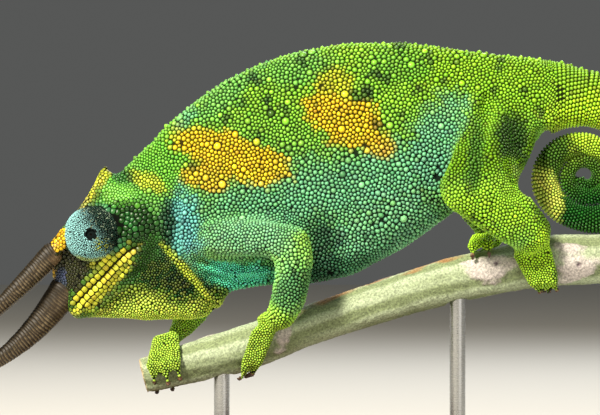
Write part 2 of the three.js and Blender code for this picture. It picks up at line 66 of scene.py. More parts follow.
camera = linked("camera", bpy.data.cameras.new("camera"))
camera.data.sensor_width = 36
camera.data.lens = camera.data.sensor_width * CAMERA_AWAY / VIEW_WIDTH
camera.location = VIEW_CENTRE - Vector((0, CAMERA_AWAY, 0))
camera.rotation_euler = (math.radians(90), 0, 0)
camera.data.clip_end = 20
scene.camera = camera

# ---------------------------------------------------------------- skin
# The hide is one loose skin over the whole animal, thin and dark green, which shows between the scales and in
# the folds; its colour is darkened further there as painted shade. It is made by closing the body's solids
# into one surface, which is then smoothed, folded, and sunk by the depth of the scales. Lengths here are
# millimetres.

COAT = 0.45  # how far the scales stand above the skin
FOOT_COAT = 0.3
TAIL_COAT = 0.58
OVERLAP = 0.3  # the solids swell by this much, so that they close over the gaps between them
SKIN_MESH = 0.7  # size of the skin's own mesh
LEGS = ("fore_left", "hind_left", "fore_right", "hind_right")
REGIONS = ("trunk", "head", "throat", "upper", "lower", "foot", "tail", "eye")
REGION_OF = {"head": "head", "jaw": "head", "throat": "throat", "neck": "trunk", "chest": "trunk",
             "belly": "trunk", "eye_left": "eye", "eye_right": "eye"}
for leg in LEGS:
    for part in ("upper", "lower", "foot"):
        REGION_OF[f"{leg}_{part}"] = part
    REGION_OF[f"{leg}_toes_outer"] = "foot"
    REGION_OF[f"{leg}_toes_inner"] = "foot"

# The tail: a level root, then a flat coil. Root rows are x, z, half height, half width. Coil rows, one each
# quarter turn from the top, are the distance from the coil's centre and half the thickness.
COIL_CENTRE = (72, 80.1)
TAIL_ROOT = [[58, 102.2, 11.7, 7.4], [65, 102.6, 9.9, 6.7], [72, 102.1, 8.4, 6.1]]
TAIL_COIL = [[22, 8.4], [16.4, 5.6], [11.7, 3.7], [11.35, 3.75], [9.1, 3], [7.05, 2.55],
             [5.5, 2.2], [5.22, 2.05], [4.25, 1.7], [2.9, 1.38], [1.95, 1.18], [1.75, 1.1]]
TAIL_FLAT = 0.9  # the coil's half width over its half thickness
COIL_START_FLAT = 0.72  # and the same where the coil starts
TAIL_START = -0.8  # the turn where the tail's own skin starts, inside the body
TAIL_TURNS = (len(TAIL_COIL) - 1) / 4
TAIL_NODES = [f"tail_{i}" for i in range(1, 6)]
COIL_JOIN = 0.3  # from this turn on the tail is made apart, finer, because its turns lie so close
COIL_MESH = 0.38
COIL_LAP = 0.12  # turns by which the body's skin runs past the join


def smooth_rows(rows, at):
    """Values through rows of numbers at these keys, smooth between rows. A row's first number is its key."""
    rows = np.array(rows, float)
    keys = rows[:, 0]
    at = np.clip(at, keys[0], keys[-1])
    slopes = np.gradient(rows[:, 1:], keys, axis=0)
    low = np.clip(np.searchsorted(keys, at) - 1, 0, len(keys) - 2)
    span = (keys[low + 1] - keys[low])[..., None]
    t = (at - keys[low])[..., None] / span
    return (rows[low, 1:] * (1 + 2 * t) * (1 - t) ** 2 + rows[low + 1, 1:] * t * t * (3 - 2 * t)
            + slopes[low] * span * t * (1 - t) ** 2 - slopes[low + 1] * span * t * t * (1 - t))


def unit(vectors):
    """Each of these at length 1."""
    return vectors / np.maximum(np.linalg.norm(vectors, axis=-1, keepdims=True), 1e-9)


def soft_step(low, high, value):
    """From 0 at low to 1 at high, level at both. High may be the smaller."""
    t = np.clip((value - low) / (high - low), 0, 1)
    return t * t * (3 - 2 * t)


def mix(first, second, share):
    """The first value with this share of the second in its place."""
    return first * (1 - share) + second * share


def ellipse(points, middle, half, tilt):
    """How far points lie from the middle of an ellipse, seen from the side: 1 on its edge."""
    turn = math.radians(tilt)
    x, z = points[:, 0] - middle[0], points[:, 2] - middle[1]
    along = x * math.cos(turn) + z * math.sin(turn)
    across = z * math.cos(turn) - x * math.sin(turn)
    return np.hypot(along / half[0], across / half[1])


def tail_line(turns):
    """Centres, directions and half sizes of the tail at these turns of the coil. Its root is below 0."""
    turns = np.asarray(turns, float)
    coil_rows = [[i / 4, *row] for i, row in enumerate(TAIL_COIL)]

    def centre(at):
        away, _ = smooth_rows(coil_rows, at).T
        angle = (0.25 - at) * 2 * np.pi
        root_x = COIL_CENTRE[0] + at * (COIL_CENTRE[0] - TAIL_ROOT[0][0])
        root_z = smooth_rows(TAIL_ROOT, root_x)[:, 0]
        x = np.where(at < 0, root_x, COIL_CENTRE[0] + np.cos(angle) * away)
        z = np.where(at < 0, root_z, COIL_CENTRE[1] + np.sin(angle) * away)
        return np.stack([x, np.zeros_like(x), z], 1)

    here = centre(turns)
    along = unit(centre(turns + 0.004) - centre(turns - 0.004))
    thick = smooth_rows(coil_rows, turns)[:, 1]
    wide = thick * (COIL_START_FLAT + (TAIL_FLAT - COIL_START_FLAT) * np.clip(turns * 1.6, 0, 1))
    root = smooth_rows(TAIL_ROOT, here[:, 0])
    thick = np.where(turns < 0, root[:, 1], thick)
    wide = np.where(turns < 0, root[:, 2], wide)
    return here, along, thick, wide


def tail_coat(thick):
    """How deep the scales are where the tail is this thick: thin along the coil, and deepest at the root."""
    thin_part = 0.05 + 0.055 * thick
    return np.minimum(TAIL_COAT, thin_part + 0.22 * soft_step(4, 5.4, thick))


def tail_depth(turns):
    """How far inside the solid's surface the tail's skin lies. At the root it is still the swollen body's."""
    return -OVERLAP + (tail_coat(tail_line(turns)[2]) + OVERLAP) * soft_step(-0.6, 0.15, turns)


def swept(rings, around, place, paint=None):
    """A closed tube as a mesh: place(s, angle) gives a point, for s from 0 to 1 and an angle round the tube.
    paint(s, angle), where it is given, colours that point."""
    made = bmesh.new()
    bmesh.ops.create_grid(made, x_segments=rings, y_segments=around, size=0.5)
    marks = made.verts.layers.float_color.new("markings") if paint else None
    for vert in made.verts:
        s, angle = vert.co.x + 0.5, (vert.co.y + 0.5) * 2 * math.pi
        vert.co = place(s, angle)
        if paint:
            vert[marks] = (*paint(s, angle), 1)
    bmesh.ops.remove_doubles(made, verts=made.verts, dist=1e-5)
    ends = [edge for edge in made.edges if edge.is_boundary]
    bmesh.ops.holes_fill(made, edges=ends)
    bmesh.ops.recalc_face_normals(made, faces=made.faces)
    return made


def tail_tube(first, last):
    """A length of the tail's skin as a closed tube, from one turn to another."""
    rings = 240
    around = 24
    turns = np.linspace(first, last, rings + 1)
    centre, along, thick, wide = tail_line(turns)
    depth = tail_depth(turns)
    up = np.stack([-along[:, 2], np.zeros(rings + 1), along[:, 0]], 1)

    def place(s, angle):
        i = round(s * rings)
        high = (thick[i] - depth[i]) * math.cos(angle)
        side = (wide[i] - depth[i]) * math.sin(angle)
        return Vector(centre[i] + up[i] * high) + Vector((0, side, 0))

    return swept(rings, around, place)


def flesh_solid(name, swell):
    """A copy of one CAD solid, in millimetres, merged and swollen."""
    made = bmesh.new()
    made.from_mesh(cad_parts[name].data)
    bmesh.ops.scale(made, vec=(1 / MM, 1 / MM, 1 / MM), verts=made.verts)
    bmesh.ops.remove_doubles(made, verts=made.verts, dist=0.001)
    made.normal_update()
    for vert in made.verts:
        vert.co += vert.normal * swell
    return made


def new_object(name, made, scale=1.0, material=None):
    """A bmesh as a smooth-shaded object in the scene."""
    mesh = bpy.data.meshes.new(name)
    bmesh.ops.scale(made, vec=(scale,) * 3, verts=made.verts)
    made.to_mesh(mesh)
    made.free()
    mesh.shade_smooth()
    if material:
        mesh.materials.append(material)
    return linked(name, mesh)


def join(made, solid):
    """Adds one bmesh to another and frees it. Gives the number of faces it adds."""
    piece = bpy.data.meshes.new("piece")
    solid.to_mesh(piece)
    solid.free()
    made.from_mesh(piece)
    faces = len(piece.polygons)
    bpy.data.meshes.remove(piece)
    return faces


def one_surface(solids, cell):
    """The solids closed into one surface by a voxel remesh: its points, its faces, and each point's solid."""
    joined = bmesh.new()
    owner = []
    for number, solid in enumerate(solids):
        owner += [number] * join(joined, solid)
    finder = BVHTree.FromBMesh(joined)
    rough = new_object("rough", joined)
    remesh = rough.modifiers.new("one_skin", "REMESH")
    remesh.mode = "VOXEL"
    remesh.voxel_size = cell
    closed = bmesh.new()
    closed.from_object(rough, bpy.context.evaluated_depsgraph_get())
    bpy.data.objects.remove(rough)
    keep_largest(closed)
    points = np.array([vert.co for vert in closed.verts])
    faces = np.array([[vert.index for vert in face.verts] for face in closed.faces])
    closed.free()
    nearest = [owner[finder.find_nearest(Vector(point))[2]] for point in points]
    return points, faces, np.array(nearest)


def keep_largest(made):
    """Deletes all but the largest connected shell."""
    made.verts.ensure_lookup_table()
    shell = np.full(len(made.verts), -1)
    for start in made.verts:
        if shell[start.index] >= 0:
            continue
        front = [start]
        shell[start.index] = start.index
        while front:
            for edge in front.pop().link_edges:
                for vert in edge.verts:
                    if shell[vert.index] < 0:
                        shell[vert.index] = start.index
                        front.append(vert)
    main = np.bincount(shell).argmax()
    crumbs = [vert for vert in made.verts if shell[vert.index] != main]
    bmesh.ops.delete(made, geom=crumbs, context="VERTS")
    made.verts.index_update()


def spread(values, edges, rounds, share=1.0):
    """Each point's values drift towards the mean of its neighbours', this many times."""
    values = np.array(values, float)
    size = len(values)
    count = np.bincount(edges.ravel(), minlength=size)[:, None]
    share = np.reshape(share, (-1, 1)) if np.ndim(share) else share
    for _ in range(rounds):
        total = [np.bincount(edges[:, 0], column[edges[:, 1]], size)
                 + np.bincount(edges[:, 1], column[edges[:, 0]], size) for column in values.T]
        mean = np.stack(total, 1) / count
        values += share * (mean - values)
    return values


def edges_of(faces):
    """The edges of a mesh of four-sided faces, each once."""
    edges = np.concatenate([faces[:, [i, (i + 1) % 4]] for i in range(4)])
    return np.unique(np.sort(edges, 1), axis=0)


def normals_of(points, faces):
    """The surface's direction at each point of a mesh of four-sided faces."""
    corner = points[faces]
    across = np.cross(corner[:, 2] - corner[:, 0], corner[:, 3] - corner[:, 1])
    total = np.zeros_like(points)
    for i in range(4):
        for axis in range(3):
            total[:, axis] += np.bincount(faces[:, i], across[:, axis], len(points))
    return unit(total)


JAW_HINGE = Vector((-51.2, 0, 61))
HEAD_PITCH = math.radians(45.4)  # how steeply the mouth runs down
HEAD_FORWARD = Vector((-math.cos(HEAD_PITCH), 0, -math.sin(HEAD_PITCH)))
HEAD_UP = Vector((-math.sin(HEAD_PITCH), 0, math.cos(HEAD_PITCH)))


def head_point(u, side, v):
    """A point in the head's own frame: u forward the way the mouth runs, side to the left, v up."""
    return JAW_HINGE + HEAD_FORWARD * u + HEAD_UP * v - Vector((0, side, 0))


flesh_names = list(REGION_OF)
flesh = [flesh_solid(name, OVERLAP) for name in flesh_names]
flesh.append(tail_tube(TAIL_START, COIL_JOIN + COIL_LAP))
skin, skin_faces, nearest_solid = one_surface(flesh, SKIN_MESH)
owner_name = np.array(flesh_names + ["tail"])[nearest_solid]
region = np.array([REGIONS.index(REGION_OF.get(name, "tail")) for name in owner_name])
skin_edges = edges_of(skin_faces)
weight = spread(np.eye(len(REGIONS))[region], skin_edges, 12)  # how far each point belongs to each region

# The solids' flats are smoothed away, most on the trunk and least on the head and toes, and what the
# smoothing takes from the body's size is given back.
SMOOTHING = {"trunk": 0.9, "head": 0.14, "throat": 0.5, "upper": 0.45, "lower": 0.45, "foot": 0.03,
             "tail": 0.07, "eye": 0.2}
share = weight @ np.array([SMOOTHING[name] for name in REGIONS])
for rounds in (50, 25):
    facing = normals_of(skin, skin_faces)
    smoothed = spread(skin, skin_edges, rounds, share)
    lost = ((skin - smoothed) * facing).sum(1, keepdims=True)
    lost = spread(lost, skin_edges, rounds * 2, share)
    skin = smoothed + facing * lost


def tree_of(points):
    """Finds the nearest of these points, by their numbers."""
    tree = kdtree.KDTree(len(points))
    for i, point in enumerate(points):
        tree.insert(point, i)
    tree.balance()
    return tree


# How many turns round the coil each point of the tail is.
tail_stations = np.linspace(TAIL_START, TAIL_TURNS, 500)
tail_centres, _, tail_thick, _ = tail_line(tail_stations)
tail_tree = tree_of(tail_centres)


def turns_at(points):
    """The turn of the coil that lies nearest, by distance less the tail's thickness there."""
    turns = []
    for point in points:
        near = tail_tree.find_n(point, 60)
        best = min(near, key=lambda found: found[2] - tail_thick[found[1]])
        turns.append(tail_stations[best[1]])
    return np.array(turns)


on_tail = region == REGIONS.index("tail")
skin_turns = np.full(len(skin), TAIL_START)
skin_turns[on_tail] = turns_at(skin[on_tail])

# Folds, creases and swellings: the path's x and z as seen from the side, the width, and the height, which is
# below 0 for a crease. Each is pressed into the skin on both sides.
FOLDS = {
    "behind the head": ([(-42.8, 74), (-43.6, 65), (-42.6, 59), (-39, 52.6), (-34.8, 45.6), (-32, 42)],
                        1.7, -1.5),
    "shoulder's front edge": ([(-40, 71), (-40.6, 63.4), (-38.8, 57), (-35.2, 50.6), (-31.6, 44.6)],
                              1.6, 0.9),
    "under the lower lip": ([(-54.6, 57.4), (-59, 51.4), (-63, 46.8), (-66, 43.6)], 1.2, -0.7),
    "top of the throat pouch": ([(-63, 44.6), (-57.4, 48), (-53, 49.6), (-48.6, 48.6)], 1.4, 0.45),
    "above the throat pouch": ([(-56, 51.6), (-52, 53.4), (-47.6, 52.8)], 1.2, -0.45),
    "cheek": ([(-50, 63), (-47.6, 58.6), (-45.8, 54)], 1.6, -0.5),
    "temple ridge": ([(-62.4, 71.9), (-58, 73.8), (-52.9, 74.2), (-48.6, 73)], 1.3, 0.5),
    "temple": ([(-57.6, 70.4), (-53, 70.4), (-49, 69.4)], 1.6, -0.45),
    "neck beside the casque": ([(-58.6, 79.4), (-55.4, 79.8), (-52, 79)], 1.6, -0.7),
    "over the upper arm": ([(-35, 68.4), (-27.7, 70.3), (-18.8, 70.6), (-10.9, 69.2)], 1.3, -0.9),
    "under the shoulder": ([(-37, 56.4), (-31.9, 55.6), (-24.9, 55), (-17.8, 55.4)], 1, -0.9),
    "armpit": ([(-33.4, 52.4), (-28, 51), (-21, 51)], 1, -0.7),
    "armpit's web": ([(-35.6, 54.6), (-30, 53.2), (-22, 53.2), (-16.6, 53.6)], 0.8, 0.5),
    "inside of the elbow": ([(-17.4, 58.6), (-15.4, 55), (-14.6, 51)], 1.2, -0.5),
    "behind the elbow": ([(-4.6, 66), (-3.4, 60), (-4, 53)], 1.6, -0.8),
    "front of the thigh": ([(41.4, 102.4), (38.4, 95), (35.7, 88), (33.2, 80.4)], 1.7, 1.1),
    "thigh's hollow": ([(44.6, 102.4), (43, 96), (41.4, 90), (40.6, 83), (40.8, 77.5)], 1.9, -1.9),
    "behind the thigh": ([(51.4, 98.6), (53, 93.6), (53.4, 89)], 2.4, -1.4),
    "hamstring": ([(47.8, 98), (48, 90), (47.2, 82)], 1.5, 0.8),
    "knee wrinkle 1": ([(45.4, 83.6), (49, 83.6), (52, 83)], 0.55, -0.35),
    "knee wrinkle 2": ([(44.6, 79.8), (48.4, 79.4), (52, 78)], 0.55, -0.4),
    "knee wrinkle 3": ([(44, 77.2), (48, 76.2), (51.4, 74.4)], 0.55, -0.35),
    "fold behind the knee": ([(52, 83.8), (52.4, 80), (54.6, 75.8), (57, 72)], 0.7, 0.5),
    "beside that fold": ([(50.4, 83), (50.8, 79), (53, 74.8), (55.4, 71)], 0.7, -0.5),
    "vent": ([(58.6, 95.2), (60.6, 94.8), (62, 95.6)], 2.6, 1.1),
    "vent slit": ([(60.4, 98.4), (60, 96), (60.3, 94)], 0.8, -0.7),
    "hip": ([(39, 105), (33, 98), (29.6, 88), (28.6, 80)], 3.4, -0.5),
}
# Bumps and dips on the midline: x, z, width and height.
MIDLINE = {"casque's tip": (-63, 82.4, 2, 0.3), "nape": (-59.4, 81.8, 1.4, -0.6)}
# The mouth line, from its corner forwards: u and v in the head's own frame.
MOUTH = [(0.6, 0.5), (2.4, 1.5), (4.3, 2.1), (7.1, 2.4), (15, 2.3), (24.6, 2.3), (27, 2)]
MOUTH_PRESS = (0.7, -1.1)  # width and height


def surface_finder(points, faces):
    """Finds the nearest place on a mesh, or where a ray meets it."""
    return BVHTree.FromPolygons(points.tolist(), faces.tolist())


def seen_from(side, x, z, finder):
    """Where the surface lies at this x and z as seen from the left (1) or the right (-1)."""
    return finder.ray_cast(Vector((x, -60 * side, z)), Vector((0, side, 0)))[0]


def dense(path, step=0.8):
    """A smooth path through a few points, as many points a step apart."""
    path = np.array(path, float)
    reach = np.concatenate([[0], np.cumsum(np.linalg.norm(np.diff(path, axis=0), axis=1))])
    at = np.linspace(0, reach[-1], max(2, round(reach[-1] / step)))
    return smooth_rows(np.column_stack([reach, path]), at)


def press(points, facing, line, width, height):
    """Moves the points near a line in or out, softly."""
    box = (points > line.min(0) - 3 * width).all(1) & (points < line.max(0) + 3 * width).all(1)
    if not box.any():
        return
    gap = np.linalg.norm(points[box][:, None] - line[None], axis=2).min(1)
    points[box] += facing[box] * (height * np.exp(-(gap / width) ** 2))[:, None]


facing = normals_of(skin, skin_faces)
finder = surface_finder(skin, skin_faces)
mouth_path = [(head_point(u, 0, v).x, head_point(u, 0, v).z) for u, v in dense(MOUTH, 0.5)]
for path, width, height in [*FOLDS.values(), (mouth_path, *MOUTH_PRESS)]:
    for side in (1, -1):
        hits = [seen_from(side, x, z, finder) for x, z in dense(path)]
        press(skin, facing, np.array([hit for hit in hits if hit is not None]), width, height)
for x, z, width, height in MIDLINE.values():
    press(skin, facing, np.array([[x, 0, z]]), width, height)

# The hide hangs in soft, uneven swells, about 9 and 4.5 mm long, most on the trunk.
swell = np.array([noise.noise(Vector(point) / 9) + 0.5 * noise.noise(Vector(point) / 4.5) for point in skin])
trunk_share = weight[:, REGIONS.index("trunk")] + 0.5 * weight[:, REGIONS.index("throat")]
skin += facing * (swell * (0.12 + 0.3 * trunk_share))[:, None]

# The skin sinks by the swelling and by the depth of the scales.
sink = np.where(region == REGIONS.index("foot"), FOOT_COAT, COAT) + OVERLAP
sink[on_tail] = tail_coat(tail_line(skin_turns[on_tail])[2]) - tail_depth(skin_turns[on_tail])
sink = spread(sink[:, None], skin_edges, 10)[:, 0]
skin -= normals_of(skin, skin_faces) * sink[:, None]
skin = spread(skin, skin_edges, 2, 0.3)

# The fine part of the tail runs out of the coarser skin, at the same depth.
coil, coil_faces, _ = one_surface([tail_tube(COIL_JOIN, TAIL_TURNS)], COIL_MESH)
skin_faces = np.vstack([skin_faces, coil_faces + len(skin)])
skin = np.vstack([skin, coil])
on_tail = np.append(on_tail, np.ones(len(coil), bool))
skin_turns = np.append(skin_turns, turns_at(coil))
weight = np.vstack([weight, np.tile(np.eye(len(REGIONS))[REGIONS.index("tail")], (len(coil), 1))])
owner_name = np.append(owner_name, ["tail"] * len(coil))
skin_facing = normals_of(skin, skin_faces)
skin_finder = surface_finder(skin, skin_faces)

# ---------------------------------------------------------------- markings
# The hide and the scales on it wear one pattern: bright green down to blue-green on the belly, two yellow
# blotches on each flank, black flecks under the back, yellow lips and casque, and a dark cheek and temple.
# Painted shade in creases and hollows, painted shadows and a few painted patches of light are laid into the
# same pattern.


def linear(code):
    """A #rrggbb colour as linear light."""
    value = np.array([int(code[i:i + 2], 16) for i in (1, 3, 5)]) / 255
    return np.where(value <= 0.04045, value / 12.92, ((value + 0.055) / 1.055) ** 2.4)


# Each region's colours from low to high, by z.
GROUND = {
    "trunk": [(46, "#3c844a"), (60, "#62ac68"), (78, "#68ac4e"), (95, "#7abc38"), (118, "#8cc834")],
    "head": [(44, "#3f6a18"), (60, "#2f6a1c"), (80, "#4f9a2c")],
    # the throat's dark greens from 48 mm up are partly its own and partly painted shade under the jaw
    "throat": [(39, "#dcff58"), (43, "#ccf058"), (48, "#3e6c18"), (56, "#2a5816"), (62, "#245014")],
    "upper": [(50, "#94c850"), (66, "#74bc7c"), (76, "#6ea83c"), (100, "#6ca430")],
    "lower": [(40, "#a8e84c"), (55, "#9ce874"), (64, "#9cdc40"), (80, "#98d434")],
    "foot": [(20, "#a4cc44"), (45, "#a8dc40"), (60, "#b4f030")],
    # the tail is darker low down, on the coil, as painted shade
    "tail": [(58, "#336214"), (80, "#3e7018"), (89, "#7ca028"), (95, "#a3c430"), (112, "#74ac28")],
    "eye": [(40, "#3d6f6c"), (80, "#3d6f6c")],
}
# Blotches: the regions they mark, centre x and z, half length, half height, tilt in degrees, colour, strength
# and how soft their edges are.
BODY = ("trunk", "upper", "lower", "tail")
FACE = ("head", "throat", "eye")
BLOTCHES = [
    # rump, neck, flank, shoulder, upper arm, armpit, fore arm, clouds under the back, the low flank, the
    # belly's edge, darker teal partly its own and partly painted shade, and a painted shadow behind the fore
    # arm
    (BODY, (45, 108), (28, 13), -6, "#88c424", 0.9, 0.4),
    (BODY, (-44, 84), (12, 9), 40, "#6cc034", 0.7, 0.4),
    (("trunk",), (2, 77), (42, 8.5), 15, "#68b890", 0.75, 0.45),
    (("trunk",), (30, 89), (8, 14), -18, "#6cbc98", 0.75, 0.4),
    (BODY, (-41, 66), (5.5, 10), 8, "#5cb0b4", 0.85, 0.35),
    (BODY, (-22, 63.4), (11, 5.5), 0, "#7cc090", 0.7, 0.4),
    (BODY, (-27, 52.6), (11.5, 3.8), 0, "#68ffd4", 1, 0.25),
    (BODY, (-11, 50), (3.6, 8), 8, "#72be80", 0.6, 0.4),
    (BODY, (-29, 104), (14, 4.4), 42, "#58a868", 0.5, 0.5),
    (BODY, (-40, 96), (4, 2), 45, "#5cb894", 0.5, 0.4),
    (BODY, (-10, 110), (11, 4.5), 12, "#4aa05a", 0.5, 0.5),
    (BODY, (19, 111), (9, 5), 0, "#44983c", 0.5, 0.5),
    (("trunk",), (14, 62), (19, 10), 35, "#7cc8a0", 0.6, 0.45),
    # the belly's edge, its own darker teal with painted shade, then a painted shadow behind the fore arm
    (BODY, (0, 52), (22, 4.5), 16, "#2a6f48", 0.7, 0.35),
    (("trunk",), (-1.6, 59), (4.4, 10), 6, "#1c4c36", 0.85, 0.5),
    # the two yellow blotches of the flank
    (BODY, (-27.5, 86), (16.8, 5.8), -20, "#d8be20", 1, 0.2),
    (BODY, (-34, 80), (6.5, 3.6), -10, "#cdb424", 0.9, 0.25),
    (BODY, (-15, 81.6), (4.5, 2.6), -15, "#cdb424", 0.7, 0.3),
    (BODY, (4, 96), (11.8, 7), -28, "#d6ba20", 1, 0.2),
    (BODY, (1.6, 106), (4.4, 5), 80, "#b8bc28", 0.8, 0.3),
    (BODY, (14, 88.6), (4.5, 3), -20, "#ccac20", 0.8, 0.3),
    # thigh's crease in painted shade, tail, coil, thigh's hollow, the folds behind the knee, and the hind
    # foot's edge
    # painted shade in the thigh's crease
    (BODY, (40.4, 85), (2.4, 9.5), -6, "#2a6424", 0.7, 0.4),
    (("tail", "trunk"), (71, 98.5), (10, 4.4), 10, "#b4e828", 0.9, 0.4),
    # painted light: a lit patch low on the coil, and the lit top of its outer turn
    (("tail",), (60.6, 75.5), (4.4, 8.6), 18, "#e8ff6c", 0.95, 0.3),
    (("tail",), (73.5, 90), (6.5, 3.4), -20, "#bce83c", 0.9, 0.3),
    # a painted shadow across the coil's upper turn
    (("tail",), (62.6, 87.6), (6.4, 4), 48, "#3a6818", 0.85, 0.25),
    # painted shade in the thigh's hollow
    (BODY, (50.6, 91), (4.4, 6.6), 0, "#163f0e", 0.9, 0.4),
    # painted shade in the folds behind the knee, and beside it a painted lit edge
    (("upper", "lower"), (57, 79), (9, 1.5), -68, "#26501a", 0.8, 0.3),
    (("upper", "lower"), (53.4, 78.2), (6.4, 1.4), -66, "#8cb454", 0.6, 0.35),
    # painted shade down the shank's far side and along the hind foot's edge
    (("lower", "foot"), (61, 66.6), (7, 1.8), -52, "#2f5c1a", 0.75, 0.4),
    (("foot",), (64.2, 56.6), (8, 1.5), 88, "#35601c", 0.7, 0.4),
    # crown, temple, casque, and painted shade in the crease behind the head
    (FACE, (-59, 75.6), (6.4, 2.6), -8, "#6cb840", 0.9, 0.3),
    (FACE + ("trunk",), (-50, 78.4), (6, 2.4), -26, "#b8c838", 0.85, 0.35),
    (FACE + ("trunk",), (-57.8, 80.6), (3, 2), -30, "#1d5224", 0.8, 0.35),
    (FACE, (-54, 67), (7.4, 6), -20, "#0c3804", 1, 0.3),
    (FACE, (-55.4, 67.4), (1, 3.6), 24, "#2a8038", 0.4, 0.3),
    # painted shade in the crease behind the head
    (FACE + ("trunk",), (-45.2, 66), (2.2, 9.4), 0, "#123a0e", 0.9, 0.4),
    (FACE, (-63.6, 80.6), (2.2, 4.6), -24, "#98a422", 1, 0.2),
    (FACE, (-66.6, 75.4), (1.3, 4.4), -26, "#c2c83a", 0.9, 0.3),
    (FACE, (-64.6, 75.4), (1, 3.2), -26, "#708034", 0.6, 0.35),
    # brow, lips, snout, the horns' mounds and the nostril
    (FACE, (-68.4, 72.2), (2.2, 1.5), 40, "#7c7c48", 0.7, 0.35),
    (FACE, (-73, 68.4), (4.6, 1.4), 42, "#5a5030", 0.8, 0.35),
    (FACE, (-63, 56.6), (6, 1.5), 18, "#c8cc34", 0.9, 0.3),
    (FACE, (-63.4, 50.6), (12.8, 3.8), 45.4, "#c0c43a", 1, 0.15),
    (FACE, (-55.4, 58.8), (4.2, 1.1), 38, "#ccc048", 0.9, 0.25),
    (FACE, (-73, 53.6), (7.8, 6.2), 45.4, "#24280a", 1, 0.15),
    (FACE, (-77.4, 61.6), (5.6, 2.8), 48, "#dcb41c", 1, 0.2),
    (FACE, (-78.4, 52.6), (1.8, 3), 0, "#d8b438", 1, 0.2),
    (FACE, (-75, 51), (1.7, 3.2), -10, "#34405a", 1, 0.2),
    # jaw, its groove green partly its own and partly painted shade, throat, cheek and the line down the neck
    (FACE, (-57.8, 49.8), (7.5, 1.5), 42, "#244c12", 0.9, 0.35),
    (("throat",), (-60, 46.4), (9, 2), 22, "#90aa34", 0.6, 0.4),
    (FACE, (-49, 57), (5.5, 7), 0, "#183e04", 0.85, 0.35),
    (("throat", "trunk", "head"), (-38.4, 52), (11.5, 1.2), -50, "#b4cc3c", 0.9, 0.3),
]
# Black flecks on the flank and legs: x, z and size.
FLECKS = [(-23.6, 101.6, 1.8), (-21, 107, 1.5), (-16.6, 98.6, 1.4), (-12, 98.2, 1.5), (-19.4, 91.4, 1.1),
          (-11.2, 86.6, 1), (-37.6, 83, 1.2), (-17.4, 101.6, 1.2), (-7.6, 111.8, 1.4), (-0.8, 111.2, 1.1),
          (7.8, 102.6, 1.7), (10.8, 104.4, 1.6), (12.8, 108.4, 1.5), (16, 107.6, 1.4), (11.4, 102.4, 1.3),
          (20, 117, 1.6), (28, 113, 1.4), (13, 93.6, 1.2), (36, 112, 1.1), (47.4, 112, 1.2),
          (-9.2, 56.2, 0.9), (-10, 54.2, 0.8), (39.6, 69, 0.9), (54, 104, 0.9), (59.4, 97.8, 1),
          (46, 103.4, 1), (24.6, 104, 1.2), (32, 106.4, 1), (-31, 110, 1.4), (-28.6, 97, 1.2),
          (4, 80.4, 0.9), (21, 98, 1)]
FLECK = linear("#16321c")
FLECK_STRENGTH = 0.7
DRIFT_SIZES = (7, 3, 1.5)  # the pattern's borders wander in waves of these lengths


def marking(points, weights, scatter=0):
    """The pattern's colour at these points, by their weights of the regions. Scatter frays its edges."""
    drift = np.array([[noise.noise(Vector(point) / size) for size in DRIFT_SIZES] for point in points])
    fray = 0.3 * drift[:, 0] + 0.3 * drift[:, 1] + 0.12 * drift[:, 2] + scatter
    x, z = points[:, 0], points[:, 2]
    colour = np.zeros((len(points), 3))
    for i, name in enumerate(REGIONS):
        rows = [[level, *linear(code)] for level, code in GROUND[name]]
        colour += weights[:, i:i + 1] * smooth_rows(rows, z + 4 * drift[:, 0])
    for names, middle, half, tilt, code, strength, soft in BLOTCHES:
        inside = ellipse(points, middle, half, tilt) + fray * (0.5 + soft)
        share = weights[:, [REGIONS.index(name) for name in names]].sum(1)
        share = (share * strength * soft_step(1 + soft, 1 - soft, inside))[:, None]
        colour = mix(colour, linear(code), share)
    for fleck_x, fleck_z, size in FLECKS:
        inside = np.hypot(x - fleck_x, (z - fleck_z) * 0.8) / size + 1.2 * drift[:, 2] + 2 * scatter
        share = (FLECK_STRENGTH * soft_step(1.2, 0.5, inside))[:, None]
        colour = mix(colour, FLECK, share)
    return np.clip(colour, 0.002, 1)


skin_colour = marking(skin, weight)

# The skin object: its material, its colours, darkened by its own dark tone and by painted shade where it
# shows in the gaps between scales, and its own unwrap.
# the hide's own dark tone together with painted shade in the gaps between scales
SKIN_DARK_AND_SHADE = 0.04  # the skin between scales is this much of their colour


def marked_object(mesh, colours, material):
    """A smooth object from a mesh, which wears these colours, one for each point, as its markings."""
    mesh.shade_smooth()
    mesh.materials.append(material)
    attribute = mesh.color_attributes.new("markings", "FLOAT_COLOR", "POINT")
    opaque = np.ones((*colours.shape[:-1], 1))
    attribute.data.foreach_set("color", np.concatenate([colours, opaque], -1).ravel())
    return linked(mesh.name, mesh)


def surface_object(name, points, faces, colours, material):
    """A closed surface in its markings. Points are in millimetres."""
    mesh = bpy.data.meshes.new(name)
    mesh.from_pydata((points * MM).tolist(), [], faces.tolist())
    return marked_object(mesh, colours, material)


def feed(node, sources):
    """Links these outputs to a node's sockets."""
    for name, source in sources.items():
        node.id_data.links.new(source, node.inputs[name])


def add_node(material, kind, settings=None, feeds=None):
    """Adds a node, with values for its settings and sockets, and the outputs that feed its other sockets."""
    node = material.node_tree.nodes.new(kind)
    for name, value in (settings or {}).items():
        if isinstance(name, int) or name in node.inputs:
            node.inputs[name].default_value = value
        else:
            setattr(node, name, value)
    feed(node, feeds or {})
    return node


def new_material(name, **surface):
    """A material with its Principled shader, whose sockets take these values."""
    material = bpy.data.materials.new(name)
    material.use_nodes = True
    shader = material.node_tree.nodes["Principled BSDF"]
    for socket, value in surface.items():
        shader.inputs[socket.replace("_", " ")].default_value = value
    return material, shader


